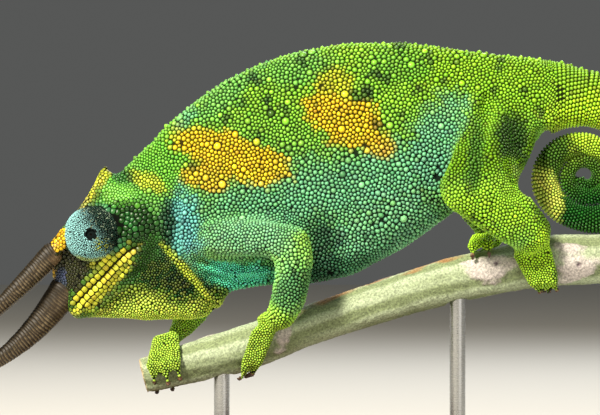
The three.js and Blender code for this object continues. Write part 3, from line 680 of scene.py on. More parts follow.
def marked_material(name, grain_size, grain_settings, **surface):
    """A material for a piece that wears markings, with its shader, its markings and a grain of this size."""
    material, shader = new_material(name, **surface)
    marks = add_node(material, "ShaderNodeVertexColor", {"layer_name": "markings"})
    place = add_node(material, "ShaderNodeTexCoord")
    grain = add_node(material, "ShaderNodeTexNoise", {"Scale": 1 / (grain_size * MM), **grain_settings},
                     {"Vector": place.outputs["Object"]})
    return material, shader, marks.outputs["Color"], grain.outputs["Fac"]


def stretched_grain(material, sizes, settings):
    """A grain of these sizes along x, y and z, in millimetres."""
    place = add_node(material, "ShaderNodeTexCoord")
    stretch = add_node(material, "ShaderNodeMapping", {"Scale": [1 / (size * MM) for size in sizes]},
                       {"Vector": place.outputs["Object"]})
    grain = add_node(material, "ShaderNodeTexNoise", {"Scale": 1, **settings},
                     {"Vector": stretch.outputs["Vector"]})
    return grain.outputs["Fac"]


def bump(material, grain, strength, depth):
    """A surface with the grain's relief, up to this many millimetres deep."""
    relief = add_node(material, "ShaderNodeBump", {"Strength": strength, "Distance": depth * MM},
                      {"Height": grain})
    return relief.outputs["Normal"]


def toned(material, colour, grain, tones):
    """A colour made darker and brighter by the grain, over this range of tones."""
    tone = add_node(material, "ShaderNodeMapRange", tones, {"Value": grain})
    scaled = add_node(material, "ShaderNodeVectorMath", {"operation": "SCALE"},
                      {0: colour, "Scale": tone.outputs["Result"]})
    return scaled.outputs["Vector"]


# Bare hide: soft, matt and finely creased, half a millimetre from crease to crease.
hide, shader, marks, grain = marked_material("hide_between_scales", 0.5, {"Detail": 3}, Roughness=0.9,
                                             Specular_IOR_Level=0.15)
feed(shader, {"Base Color": marks, "Normal": bump(hide, grain, 0.5, 0.1)})

hide_object = surface_object("hide", skin, skin_faces, skin_colour * SKIN_DARK_AND_SHADE, hide)
bpy.context.view_layer.objects.active = hide_object
hide_object.select_set(True)
bpy.ops.object.mode_set(mode="EDIT")
bpy.ops.mesh.select_all(action="SELECT")
bpy.ops.uv.smart_project(angle_limit=math.radians(66), island_margin=0.002)
bpy.ops.object.mode_set(mode="OBJECT")
hide_object.data.uv_layers[0].name = "OFBake"
unwrap = np.empty(len(hide_object.data.loops) * 2)
hide_object.data.uv_layers["OFBake"].uv.foreach_get("vector", unwrap)
face_uv = unwrap.reshape(len(skin_faces), 4, 2)
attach(hide_object, "root")
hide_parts(*[name for name in flesh_names if not name.startswith("eye")], *TAIL_NODES)

# ---------------------------------------------------------------- scales
# Beads of keratin, each a low dome that meets its neighbours in a dark groove. They are small on the face,
# feet and throat, even on the legs and tail, and mixed with large round tubercles on the flanks.

draw = np.random.default_rng(7)
# The eyes' middles in the head's own frame, and how many degrees they look forward.
EYE = {"u": 8.2, "v": 12.7, "out": 5.6, "turn": 1}
EYE_CLEAR = 7.75  # no body scales this close to an eye's middle
# Each region's scales: the distance between their middles, how much their sizes vary, how far an outline is
# rounded from its cell's, and height over width.
SCALES = {
    "trunk": (1.26, 0.14, 0.28, 0.46),
    "head": (1.12, 0.13, 0.06, 0.15),
    "throat": (0.92, 0.1, 0.3, 0.42),
    "upper": (1.12, 0.1, 0.25, 0.44),
    "lower": (1.14, 0.09, 0.22, 0.44),
    "foot": (0.8, 0.08, 0.2, 0.42),
    "tail": (1.05, 0.05, 0.2, 0.46),
    "eye": (0.8, 0.1, 0.1, 0.35),
}
PITCH, VARIES, ROUND, TALL = [dict(zip(SCALES, column)) for column in zip(*SCALES.values())]
# Where the distance differs: centre x and z, half length and height, tilt in degrees, distance.
PITCH_PLACES = {
    "temple": ((-54.5, 67.2), (7.5, 6), 0, 1.6),
    "cheek": ((-49.5, 56.5), (6, 8), 0, 0.78),
    "throat's edge": ((-50, 41), (20, 1.4), 0, 0.7),
    "snout": ((-71, 50), (6, 6), 0, 0.85),
    "crown": ((-59, 76), (6.5, 4.4), -10, 0.92),
    "casque": ((-64, 79), (4, 9), -30, 1.05),
    "armpit": ((-28, 53.2), (12, 3.4), 0, 0.66),
    "shoulder's front edge": ((-37, 58), (3, 10), -15, 0.85),
    "belly's edge": ((2, 53), (24, 5), 16, 1.08),
    "vent": ((60, 95.6), (5, 4), 0, 0.82),
    "behind the knee": ((50, 79), (4.4, 8), 0, 0.85),
    "rump": ((40, 104), (24, 12), 0, 1.18),
    "back": ((10, 115), (46, 3.4), 0, 1.42),
    "nape's edge": ((-36, 103), (16, 3), 42, 1.4),
    "neck": ((-46, 80), (6, 12), 40, 1.05),
    "elbow": ((-10.5, 66), (5, 4), 0, 1.0),
}


def by_region(values, weights):
    """Each point's value, from its regions' values."""
    return weights @ np.array([values[name] for name in REGIONS])


def pitch_at(points, weights):
    """The distance between scales at these points."""
    pitch = by_region(PITCH, weights)
    for middle, half, tilt, value in PITCH_PLACES.values():
        share = soft_step(1.2, 0.8, ellipse(points, middle, half, tilt))
        pitch = mix(pitch, value, share * (1 - weights[:, REGIONS.index("tail")]))
    return pitch


skin_pitch = pitch_at(skin, weight)
eye_centres = [np.array(head_point(EYE["u"], side * EYE["out"], EYE["v"])) for side in (1, -1)]
bare = np.zeros(len(skin), bool)
for centre in eye_centres:
    bare |= np.linalg.norm(skin - centre, axis=1) < EYE_CLEAR


def settle(points):
    """Drops points on to the skin: the places, the skin's direction, nearest point and face at each."""
    found = [skin_finder.find_nearest(Vector(point)) for point in points]
    place = np.array([hit[0] for hit in found])
    face = np.array([hit[2] for hit in found])
    corners = skin_faces[face]
    gaps = np.linalg.norm(skin[corners] - place[:, None], axis=2)
    nearest = corners[np.arange(len(place)), gaps.argmin(1)]
    shares = 1 / (gaps + 0.05)
    facing = unit((skin_facing[corners] * shares[..., None]).sum(1))
    return place, facing, nearest, face


def neighbours(points, count):
    """The nearest other points to each, as their numbers."""
    tree = tree_of(points)
    return np.array([[found[1] for found in tree.find_n(point, count + 1)][1:] for point in points])


TAIL_PITCH = 1.08
TAIL_ROWS_START = -0.75  # the turn where the rows start
RING_STEP = 0.92  # distance between rings, over the distance between the scales of a ring


def tail_rows():
    """Scales of the tail: rings across it, each half a scale out of step with the last."""
    rows = []
    stations = np.concatenate([np.linspace(TAIL_ROWS_START, 0, 500, endpoint=False),
                               np.linspace(0, TAIL_TURNS, 4000)])
    line = tail_line(stations)[0]
    reach = np.concatenate([[0], np.cumsum(np.linalg.norm(np.diff(line, axis=0), axis=1))])
    at = 0
    odd = 0
    while at < reach[-1]:
        centre, along, thick, wide = [value[0] for value in tail_line([np.interp(at, reach, stations)])]
        pitch = TAIL_PITCH * (0.6 + 0.4 * min(1, thick / 6))
        depth = tail_coat(thick)
        count = max(6, round(math.pi * (thick + wide - 2 * depth) / pitch))
        up = np.array([-along[2], 0, along[0]])
        for i in range(count):
            angle = 2 * math.pi * (i + 0.5 * odd) / count
            high = up * math.cos(angle) * (thick - depth)
            side = np.array([0, 1, 0]) * math.sin(angle) * (wide - depth)
            rows.append([*(centre + (high + side)), pitch / 2])
        odd = 1 - odd
        at += pitch * RING_STEP
    return np.array(rows)


# Rows of lip plates: distance above the mouth line, distance between plates, and where the row starts.
LIP_ROWS = ((1, 1.7, 2), (2.55, 1.45, 5), (-1, 1.65, 2), (-2.5, 1.4, 5))
LIP_CLEAR = 1.3  # no other scale this close to the middle of a lip's plate


def lip_rows():
    """Scales along the lips: two rows of large plates above the mouth and two below, on each side."""
    rows = []
    for side in (1, -1):
        for away, pitch, first in LIP_ROWS:
            u = first
            while u < MOUTH[-1][0] - abs(away):
                v = smooth_rows(MOUTH, np.array([u]))[0, 0]
                at = head_point(u, 0, v + away)
                hit = seen_from(side, at.x, at.z, skin_finder)
                if hit is not None:
                    rows.append([*hit, pitch / 2])
                u += pitch
    return np.array(rows)


# The crest: a row of cones along the back, x from and to, and the distance between them.
CREST = (-54, 72, 2.9)
CREST_HALF = 0.98  # half a cone's width
CREST_CLEAR = 1.1  # no other row's scale this close to a cone's middle


def crest_rows():
    """Cones along the back, a little uneven in place and size."""
    rows = []
    for x in np.arange(*CREST):
        x += 0.4 * draw.normal()
        hit = skin_finder.ray_cast(Vector((x, 0, 200)), Vector((0, 0, -1)))[0]
        rows.append([*hit, CREST_HALF + 0.16 * np.clip(draw.normal(), -1.5, 1.5)])
    return np.array(rows)


OVERFULL = 1.03  # more scales than the skin has room for, so that they press together
HEXAGON = 0.866  # area of a scale's cell, over the square of its width


def loose_scales(kept):
    """Scales strewn over the rest of the skin, by the distance that each place asks for."""
    corner = skin[skin_faces]
    area = 0.5 * np.linalg.norm(np.cross(corner[:, 2] - corner[:, 0], corner[:, 3] - corner[:, 1]), axis=1)
    area[~kept] = 0
    pitch = skin_pitch[skin_faces].mean(1)
    wanted = area / (HEXAGON * pitch ** 2)
    count = round(wanted.sum() * OVERFULL)
    chosen = draw.choice(len(area), count, p=wanted / wanted.sum())
    s, t = draw.random((2, count, 1))
    corner = corner[chosen]
    return mix(mix(corner[:, 0], corner[:, 1], s), mix(corner[:, 3], corner[:, 2], s), t)


# The scales that stand in rows come first, and are held where they are.
row_kinds = {"tail": tail_rows(), "lip": lip_rows(), "crest": crest_rows()}
fixed = np.vstack(list(row_kinds.values()))
kind = np.repeat(list(row_kinds), [len(rows) for rows in row_kinds.values()])
OFF_SKIN = 0.7  # a row's scale further than this from the skin is left out
settled, _, nearest, _ = settle(fixed[:, :3])
clear = (np.linalg.norm(settled - fixed[:, :3], axis=1) < OFF_SKIN) & ~bare[nearest]
crest_points = fixed[kind == "crest", :3]
from_crest = np.linalg.norm(fixed[:, None, :3] - crest_points[None], axis=2).min(1)
clear &= (kind == "crest") | (from_crest > CREST_CLEAR)
fixed, kind = fixed[clear], kind[clear]
in_rows = (on_tail & (skin_turns > TAIL_ROWS_START + 0.03)) | bare
loose = loose_scales(~in_rows[skin_faces].any(1))
from_lips = np.linalg.norm(loose[:, None] - row_kinds["lip"][None, :, :3], axis=2).min(1)
loose = loose[from_lips > LIP_CLEAR]
root = np.vstack([fixed[:, :3], loose])
held = np.arange(len(root)) < len(fixed)
root, root_facing, root_skin, root_face = settle(root)

# Sizes, as half widths. Round tubercles, large and small, stand among the flank's scales.
TUBERCLES = 0.011  # share of large ones
SMALL_TUBERCLES = 0.07
size = skin_pitch[root_skin] / 2
size *= 1 + by_region(VARIES, weight[root_skin]) * np.clip(draw.normal(size=len(root)), -2, 2.5)
flank = weight[root_skin, REGIONS.index("trunk")] * soft_step(60, 75, root[:, 2])
odds = draw.random(len(root))
size = np.where(odds < TUBERCLES * flank, size * draw.uniform(1.6, 2.05, len(root)), size)
small_one = (odds > 0.5) & (odds < 0.5 + SMALL_TUBERCLES * flank)
size = np.where(small_one, size * draw.uniform(1.2, 1.45, len(root)), size)
# The throat's scales are of two kinds: larger pale dots, and smaller dull ones between them.
DOTS = 0.62  # share of pale ones
DOTS_LOWEST = 41.6  # below this height the throat's edge is all alike
dotted = (weight[root_skin, REGIONS.index("throat")] > 0.5) & (root[:, 2] > DOTS_LOWEST)
dot = dotted & (odds < DOTS)
size = np.where(dot, size * 1.06, np.where(dotted, size * 0.9, size))
size[held] = fixed[:, 3]

# Packing: scales that crowd each other move apart over the skin, a little at a time.
PACKING_STEPS = 42
NEAR = 14  # neighbours that each scale can meet
PUSH = 0.32  # share of the crowding that one step undoes
for step in range(PACKING_STEPS):
    if step % 3 == 0:
        near = neighbours(root, NEAR)
    away = root[:, None] - root[near]
    gap = np.linalg.norm(away, axis=2)
    crowding = np.clip(size[:, None] + size[near] - gap, 0, None)
    crowding[np.abs((away * root_facing[:, None]).sum(2)) > 0.75 * gap] = 0
    push = (away / np.maximum(gap, 0.01)[..., None] * crowding[..., None]).sum(1) * PUSH
    push[held] = 0
    root, root_facing, root_skin, root_face = settle(root + push)
near = neighbours(root, NEAR)
kept = ~(in_rows[root_skin] & ~held)

GROOVE = 0.075  # half the dark line between two scales, over half a scale's width
MOUTH_GAP = 0.17  # a plate beside the mouth stops this much shorter of the other lip
FURTHEST = 1.45  # no scale reaches further than this many of its half widths
UV_PATCH = 0.0015  # half a scale's patch on the map
# A scale's rings, from its root to its brim: share of its reach, share of its height, share of its colour.
# The colour shares darken the low rings as painted shade.
BEAD = [(0.99, -0.3, 0.03), (0.92, 0.3, 0.62), (0.56, 0.84, 0.96)]
SMALL_BEAD = [(0.99, -0.3, 0.03), (0.82, 0.56, 0.88)]
PLATE = [(0.99, -0.3, 0.03), (0.96, 0.42, 0.75), (0.74, 0.94, 1)]
CONE = [(0.98, -0.3, 0.05), (0.74, 0.34, 0.7), (0.4, 0.76, 1)]
HIGHEST = 0.62  # the most that a scale stands above the skin
COIL_TALLER = 0.35  # the coil's turns lie together, and the scales between them are this share taller
CREST_TALL = 0.5
CREST_HIGHEST = 1.4
# the crown's paler tone is partly the scale's own and partly a painted highlight
CROWN_PALE_AND_HIGHLIGHT = np.array([0.13, 0.09, 0.04])  # a scale's crown is this much paler than the rest of it


def sides_of(facing):
    """Two directions across each of these, to measure angles round it."""
    helper = np.where(np.abs(facing[:, 2:]) < 0.9, [[0, 0, 1]], [[1, 0, 0]])
    side = unit(np.cross(helper, facing))
    return side, np.cross(facing, side)


def reaches(coat, chosen, angles):
    """How far each chosen scale reaches at these angles before it meets a neighbour."""
    near = coat["near"][chosen]
    offset = coat["root"][near] - coat["root"][chosen][:, None]
    size = coat["size"][chosen][:, None]
    gap = np.linalg.norm(offset, axis=2)
    rise, run = [(offset * coat[way][chosen][:, None]).sum(2) for way in ("up", "side")]
    bearing = np.arctan2(rise, run)
    wall = gap * size / (size + coat["size"][near])
    wall -= MOUTH_GAP * (coat["lip"][chosen][:, None] * coat["lip"][near] < 0)
    facing_it = np.cos(angles[None, :, None] - bearing[:, None])
    reach = np.where(facing_it > 0.25, wall[:, None] / np.maximum(facing_it, 0.25), 99).min(2)
    reach = np.minimum(reach, FURTHEST * size)
    rounded = coat["round"][chosen][:, None]
    return mix(reach, reach.mean(1, keepdims=True), rounded) - coat["groove"] * size


def scale_piece(name, coat, chosen, corners, rings):
    """One joined mesh of these scales of a coat, each a closed dome of this many corners."""
    count, levels = len(chosen), len(rings)
    angles = np.arange(corners) * 2 * np.pi / corners
    reach = reaches(coat, chosen, angles)
    root, facing, side, up, colour = [
        coat[key][chosen][:, None] for key in ("root", "facing", "side", "up", "colour")]
    high = np.minimum(2 * reach.mean(1) * coat["tall"][chosen], coat["highest"])[:, None, None]
    brim = (np.cos(angles)[:, None] * side + np.sin(angles)[:, None] * up) * reach[..., None]
    points = [root + brim * share + facing * high * lift for share, lift, _ in rings]
    points = np.concatenate([*points, root + facing * high], 1)
    # the lower rings are darkened as painted shade; the crown is paler, partly a painted highlight
    colours = [np.repeat(colour * tone, corners, 1) for _, _, tone in rings]
    colours = np.concatenate([*colours, colour + coat["crown_pale_and_highlight"] * np.minimum(1, 3 * colour)], 1)
    here = np.arange(corners)
    after = (here + 1) % corners
    quads = np.concatenate([
        np.stack([here + level * corners, after + level * corners, after + (level + 1) * corners,
                  here + (level + 1) * corners], 1) for level in range(levels - 1)])
    last = (levels - 1) * corners
    cap = np.stack([here + last, after + last, np.full(corners, levels * corners)], 1)
    one = np.concatenate([here[::-1], quads.ravel(), cap.ravel()])
    sides = np.concatenate([[corners], np.full(len(quads), 4), np.full(corners, 3)])
    per_scale = levels * corners + 1
    loops = (one[None] + (np.arange(count) * per_scale)[:, None]).ravel()
    sizes = np.tile(sides, count)
    mesh = bpy.data.meshes.new(name)
    mesh.vertices.add(count * per_scale)
    mesh.vertices.foreach_set("co", (points * MM).ravel().astype(np.float32))
    mesh.loops.add(len(loops))
    mesh.loops.foreach_set("vertex_index", loops.astype(np.int32))
    mesh.polygons.add(len(sizes))
    mesh.polygons.foreach_set("loop_start", (np.cumsum(sizes) - sizes).astype(np.int32))
    mesh.update(calc_edges=True)
    new = marked_object(mesh, colours, keratin)
    circle = np.stack([np.cos(angles), np.sin(angles)], 1)
    flat = np.concatenate([*[circle * share for share, _, _ in rings], np.zeros((1, 2))])
    corner_uv = flat[one] * UV_PATCH
    corner_uv[:corners] = [UV_PATCH, 0]  # the hidden underside takes no room
    layer = mesh.uv_layers.new(name="OFBake")
    layer.uv.foreach_set("vector", (coat["uv"][chosen][:, None] + corner_uv[None]).ravel().astype(np.float32))
    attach(new, "root")
    return new


# Keratin: a thin horny layer over each scale, hard and smooth, so that every bead has its own highlight.
keratin, shader, marks, grain = marked_material("keratin_scales", 0.3, {"Detail": 3}, Roughness=0.35,
                                                Specular_IOR_Level=0.34)
feed(shader, {"Base Color": marks, "Normal": bump(keratin, grain, 0.3, 0.05)})

# Colours: the markings at each root, a little uneven from scale to scale. Tubercles are brighter, and
# yellower.
THROAT_DOT = linear("#d0d658")
UNEVEN = 0.17  # in brightness
UNEVEN_HUE = 0.05
root_side, root_up = sides_of(root_facing)
root_weight = weight[root_skin]
bold = size / (skin_pitch[root_skin] / 2)
scale_colour = marking(root, root_weight, 0.1 * draw.normal(size=len(root)))
dot_share = 0.07 + 0.18 * soft_step(51, 44, root[:, 2:])  # the dots are brightest low on the throat
scale_colour = np.where(dot[:, None], mix(scale_colour, THROAT_DOT, dot_share), scale_colour)
scale_colour = np.where((dotted & ~dot)[:, None], scale_colour * 0.8, scale_colour)
scale_colour *= 1 + UNEVEN * draw.normal(size=(len(root), 1)) + UNEVEN_HUE * draw.normal(size=(len(root), 3))
scale_colour *= 1 + 0.35 * np.clip(bold - 1.1, 0, 0.7)[:, None] * np.array([1.2, 1, 0.2])
# Which lip each scale belongs to: 1 above the mouth, -1 below it, 0 for the rest.
LIP_WIDTH = 2.2
to_mouth = root[:, None, [0, 2]] - np.array(mouth_path)[None]
from_mouth = np.linalg.norm(to_mouth, axis=2)
above = to_mouth[np.arange(len(root)), from_mouth.argmin(1)] @ [HEAD_UP.x, HEAD_UP.z]
lip = np.where(held & (from_mouth.min(1) < LIP_WIDTH), np.sign(above), 0)
body_coat = {
    "root": root, "facing": root_facing, "side": root_side, "up": root_up, "near": near, "size": size,
    "tall": by_region(TALL, root_weight) * (1 + COIL_TALLER * (skin_turns[root_skin] > 0.4)),
    "highest": HIGHEST, "round": by_region(ROUND, root_weight), "groove": GROOVE, "lip": lip,
    "colour": np.clip(scale_colour, 0.002, 1), "crown_pale_and_highlight": CROWN_PALE_AND_HIGHLIGHT, "uv": face_uv[root_face].mean(1),
}
on_crest = np.zeros(len(root), bool)
on_crest[:len(kind)] = kind == "crest"
root_owner = owner_name[root_skin]
# Each piece of the coat: the CAD nodes it covers, the corners round each scale, and its rings.
GROUPS = {"scales_head": (("head", "jaw", "eye_left", "eye_right"), 12, PLATE),
          "scales_throat": (("throat",), 6, SMALL_BEAD),
          "scales_neck": (("neck",), 8, BEAD),
          "scales_chest": (("chest",), 7, BEAD),
          "scales_belly": (("belly",), 7, BEAD),
          "scales_tail": (("tail",), 7, BEAD)}
for leg in LEGS:
    GROUPS[f"scales_{leg}"] = ((f"{leg}_upper", f"{leg}_lower"), 7, BEAD)
    GROUPS[f"scales_{leg}_foot"] = ((f"{leg}_foot", f"{leg}_toes_outer", f"{leg}_toes_inner"), 6, SMALL_BEAD)
for name, (names, corners, rings) in GROUPS.items():
    chosen = np.flatnonzero(np.isin(root_owner, names) & kept & ~on_crest)
    scale_piece(name, body_coat, chosen, corners, rings)
crest_coat = {**body_coat, "tall": np.full(len(root), CREST_TALL), "highest": CREST_HIGHEST}
scale_piece("crest_cones", crest_coat, np.flatnonzero(on_crest), 10, CONE)

# ---------------------------------------------------------------- eyes
# Each eye is a swivelling turret of thick fused lids, covered in fine granules set in rings, with only a
# small round opening at its tip. A wet dark eyeball shows inside the opening.

LID = 7.62  # radius of the turret's skin
OPENING = 1.32  # radius of the opening between the lids
EYEBALL = 3.2
EYE_GRANULE = 0.52  # distance between granules
GRANULE_HIGHEST = 0.28
TURRET_BACK = math.radians(134)  # how far from its tip the turret goes back into the socket
LID_EDGE = math.asin((OPENING + 0.25) / LID)
# the lids' own dark tone together with painted shade between the granules and inside the opening
LID_DARK_AND_SHADE = 0.01  # the lids between granules are this much of their colour
EYE_MAP = 2.2  # the turret's map is this many radii across
# the dark colour is partly the eye's own and partly painted shade behind and above
CYAN, DEEP_AND_SHADED, PALE, LIME = [linear(code) for code in ("#9cdee0", "#12342a", "#a4c0a4", "#b8c850")]


def eye_axis(side):
    """The way an eye looks: sideways, and a little forward."""
    turn = math.radians(EYE["turn"])
    return Vector((-math.sin(turn), -side * math.cos(turn), 0))


def eye_colour(offset):
    """Colours on the turret, by offset from its middle: cyan in front and below, dark behind and above, the
    dark partly the eye's own and partly painted shade, with pale granules in the dark part, a few lime ones
    below the opening, and a lime rim at the bottom."""
    x, z = offset[:, 0], offset[:, 2]
    ring = np.linalg.norm(offset[:, [0, 2]], axis=1)
    drift = np.array([noise.noise(Vector(point) / 1.4) for point in offset])
    dark_and_shaded = soft_step(-0.25, 0.5, (x * 0.84 + z * 0.54) / LID + 0.16 * drift)[:, None]
    colour = mix(CYAN, DEEP_AND_SHADED, dark_and_shaded)
    chance = draw.random((len(offset), 1))
    colour = np.where((chance < 0.14) & (dark_and_shaded > 0.3), PALE * 0.55, colour)
    colour = np.where((chance > 0.84) & (dark_and_shaded < 0.3), CYAN * 0.65, colour)
    below = (soft_step(3.2, 0.8, np.hypot(x - 2.8, z + 3.2)) * (chance[:, 0] < 0.4))[:, None]
    colour = mix(colour, LIME * 0.8, below)
    rim = (soft_step(-5.2, -6.6, z) * soft_step(6.2, 7, ring) * 0.8)[:, None]
    return mix(colour, LIME, rim)


def spun(profile, steps):
    """A closed solid of revolution about z from its profile, pole to pole, as distance and height."""
    made = bmesh.new()
    verts = [made.verts.new((away, 0, high)) for away, high in profile]
    edges = [made.edges.new(pair) for pair in zip(verts, verts[1:])]
    bmesh.ops.spin(made, geom=verts + edges, axis=(0, 0, 1), cent=(0, 0, 0), steps=steps, angle=2 * math.pi,
                   use_merge=True)
    bmesh.ops.remove_doubles(made, verts=made.verts, dist=1e-4)
    bmesh.ops.recalc_face_normals(made, faces=made.faces)
    return made


def painted(made, colours):
    """Gives each point of a bmesh its markings."""
    marks = made.verts.layers.float_color.new("markings")
    for vert, colour in zip(made.verts, colours):
        vert[marks] = (*colour, 1)


def arc(radius, first, last, steps):
    """A profile along part of a circle, by angle from the axis."""
    return [(radius * math.sin(angle), radius * math.cos(angle)) for angle in np.linspace(first, last, steps)]


turret_profile = arc(LID, TURRET_BACK, LID_EDGE, 40)
tip = turret_profile[-1][1]
lid_rim = [(OPENING + 0.22, tip + 0.14), (OPENING + 0.06, tip + 0.1), (OPENING, tip - 0.12),
           (OPENING + 0.1, tip - 0.5), (OPENING + 0.5, tip - 0.9), (0, tip - 1.1)]
turret_profile = [(0, turret_profile[0][1] - 0.4), *turret_profile, *lid_rim]
ball_profile = arc(EYEBALL, math.pi, 0, 60)
EYEBALL_DOWN = 0.35  # how far the eyeball's front lies below the opening's edge
PUPIL, IRIS = linear("#050403"), linear("#0c0806")

# The cornea: wet and clear over a black pupil and a thin, dark bronze iris with fine threads.
cornea, shader, marks, threads = marked_material("wet_cornea", 0.2, {"Detail": 3}, Roughness=0.08,
                                                 Specular_IOR_Level=0.1)
flecked = add_node(cornea, "ShaderNodeMix", {"data_type": "RGBA", "blend_type": "MULTIPLY", "Factor": 0.5},
                   {"A": marks, "B": threads.node.outputs["Color"]})
feed(shader, {"Base Color": flecked.outputs["Result"]})

for side, hand in ((1, "left"), (-1, "right")):
    middle = head_point(EYE["u"], side * EYE["out"], EYE["v"])
    turn = Vector((0, 0, 1)).rotation_difference(eye_axis(side)).to_matrix()

    made = spun(turret_profile, 64)
    offset = np.array([turn @ vert.co for vert in made.verts])
    # the lids, near black: their own dark tone and painted shade between the granules and inside the opening
    painted(made, eye_colour(offset) * LID_DARK_AND_SHADE)
    disc = np.array([[vert.co.x, vert.co.y] for vert in made.verts]) / (EYE_MAP * LID) + 0.5
    for vert, away in zip(made.verts, offset):
        vert.co = middle + Vector(away)
    layer = made.loops.layers.uv.new("OFBake")
    for face in made.faces:
        for loop in face.loops:
            loop[layer].uv = disc[loop.vert.index]
    turret = new_object(f"eye_turret_{hand}", made, MM, hide)
    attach(turret, "root")
    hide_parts(f"eye_{hand}")

    # Granules: rings round the opening, as unit directions and half widths.
    granules = []
    angle = LID_EDGE + 0.02
    while angle < TURRET_BACK - 0.06:
        away = LID * math.sin(angle)
        pitch = EYE_GRANULE * (0.78 + 0.3 * min(1, angle))
        count = round(2 * math.pi * away / pitch)
        for i in range(count):
            round_it = 2 * math.pi * (i + draw.uniform(-0.14, 0.14)) / count + len(granules)
            down = angle + draw.uniform(-0.1, 0.1) * pitch / LID
            granules.append([math.sin(down) * math.cos(round_it), math.sin(down) * math.sin(round_it),
                             math.cos(down), 0.6 * pitch])
        angle += 0.88 * pitch / LID
    granules = np.array(granules)
    facing = granules[:, :3] @ np.array(turn).T
    across, up = sides_of(facing)
    size = granules[:, 3] * (1 + 0.12 * np.clip(draw.normal(size=len(granules)), -2, 2))
    eye_coat = {
        "root": facing * LID + np.array(middle), "facing": facing, "side": across, "up": up,
        "near": neighbours(facing * LID, 10), "size": size, "tall": np.full(len(size), 0.55),
        "highest": GRANULE_HIGHEST, "round": np.full(len(size), 0.1), "groove": 0.09,
        "lip": np.zeros(len(size)),
        "colour": eye_colour(facing * LID) * (1 + 0.14 * draw.normal(size=(len(size), 1))), "crown_pale_and_highlight": 0.03,
        "uv": granules[:, :2] / EYE_MAP + 0.5,
    }
    lids = scale_piece(f"eye_granules_{hand}", eye_coat, np.arange(len(size)), 6, SMALL_BEAD)

    made = spun(ball_profile, 48)
    x, y, z = np.array([vert.co for vert in made.verts]).T
    from_axis = np.degrees(np.arctan2(np.hypot(x, y), z))
    iris = (soft_step(15, 17, from_axis) * soft_step(25, 21, from_axis))[:, None]
    painted(made, mix(PUPIL, IRIS, iris))
    bmesh.ops.translate(made, vec=(0, 0, tip - EYEBALL_DOWN - EYEBALL), verts=made.verts)
    for vert in made.verts:
        vert.co = middle + turn @ vert.co
    eyeball = new_object(f"eyeball_{hand}", made, MM, cornea)
    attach(eyeball, "root")

# ---------------------------------------------------------------- horns
# Three horns of grey-brown keratin on a bony core, one on the nose and one on each brow. They grow in close
# rings, worn pale along their edges, with fine dashes along the horn, and are olive brown underneath,
# darkened there by painted shade.

# Base (u, side, v), length, radii, how far the tip spreads and rises, sag, and the lengths that are nearly
# smooth and hidden in the skin.
HORNS = {
    "horn_nose": {"base": (20.5, 0, 8), "length": 43, "thick": (4.8, 0.9), "spread": 0, "rise": 1.5, "sag": 3,
                  "smooth": 12, "hidden": 3.4},
    "horn_left": {"base": (17.5, 4.4, 17), "length": 39.5, "thick": (3.3, 0.9), "spread": 2.4, "rise": 0.8,
                  "sag": 0.5, "smooth": 0, "hidden": 1.4},
}
HORNS["horn_right"] = {**HORNS["horn_left"], "base": (17.5, -4.4, 17), "spread": -2.4}
HORN_RING = 0.88  # distance between rings
RING_HEIGHT = 0.19
HORN_STEP = 0.15  # length of the mesh's own steps
HORN_BACK = -0.05  # the horn starts this share of its length inside the head
ROOT_TAPER = 0.22  # and is this much thinner where the head's skin covers it
HORN_WORN, HORN_BROWN, HORN_GROOVE, HORN_OLIVE_AND_SHADE, HORN_COLLAR = [
    linear(code) for code in ("#8a7a5c", "#362a1a", "#100c07", "#221a07", "#846a4c")]


def horn_line(horn, share):
    """The middle of a horn at this share of its length."""
    u, side, v = horn["base"]
    u += share * horn["length"]
    side += share * horn["spread"]
    sag = math.sin(math.pi * share) * horn["sag"]
    return head_point(u, side, v + share * horn["rise"] - sag)


def ring_at(horn, share, angle):
    """How far up a ring this point stands, from 0 in the groove to 1 at its worn edge."""
    length = share * horn["length"]
    wave = noise.noise(Vector((math.cos(angle), math.sin(angle), length / 5)) * 1.3)
    place = (length / HORN_RING + 0.28 * wave + 0.18 * math.sin(length)) % 1
    strength = 0.3 + 0.7 * float(soft_step(horn["smooth"] - 1, horn["smooth"] + 1, length))
    return place ** 1.6 * (1 - float(soft_step(0.86, 1, place))), strength


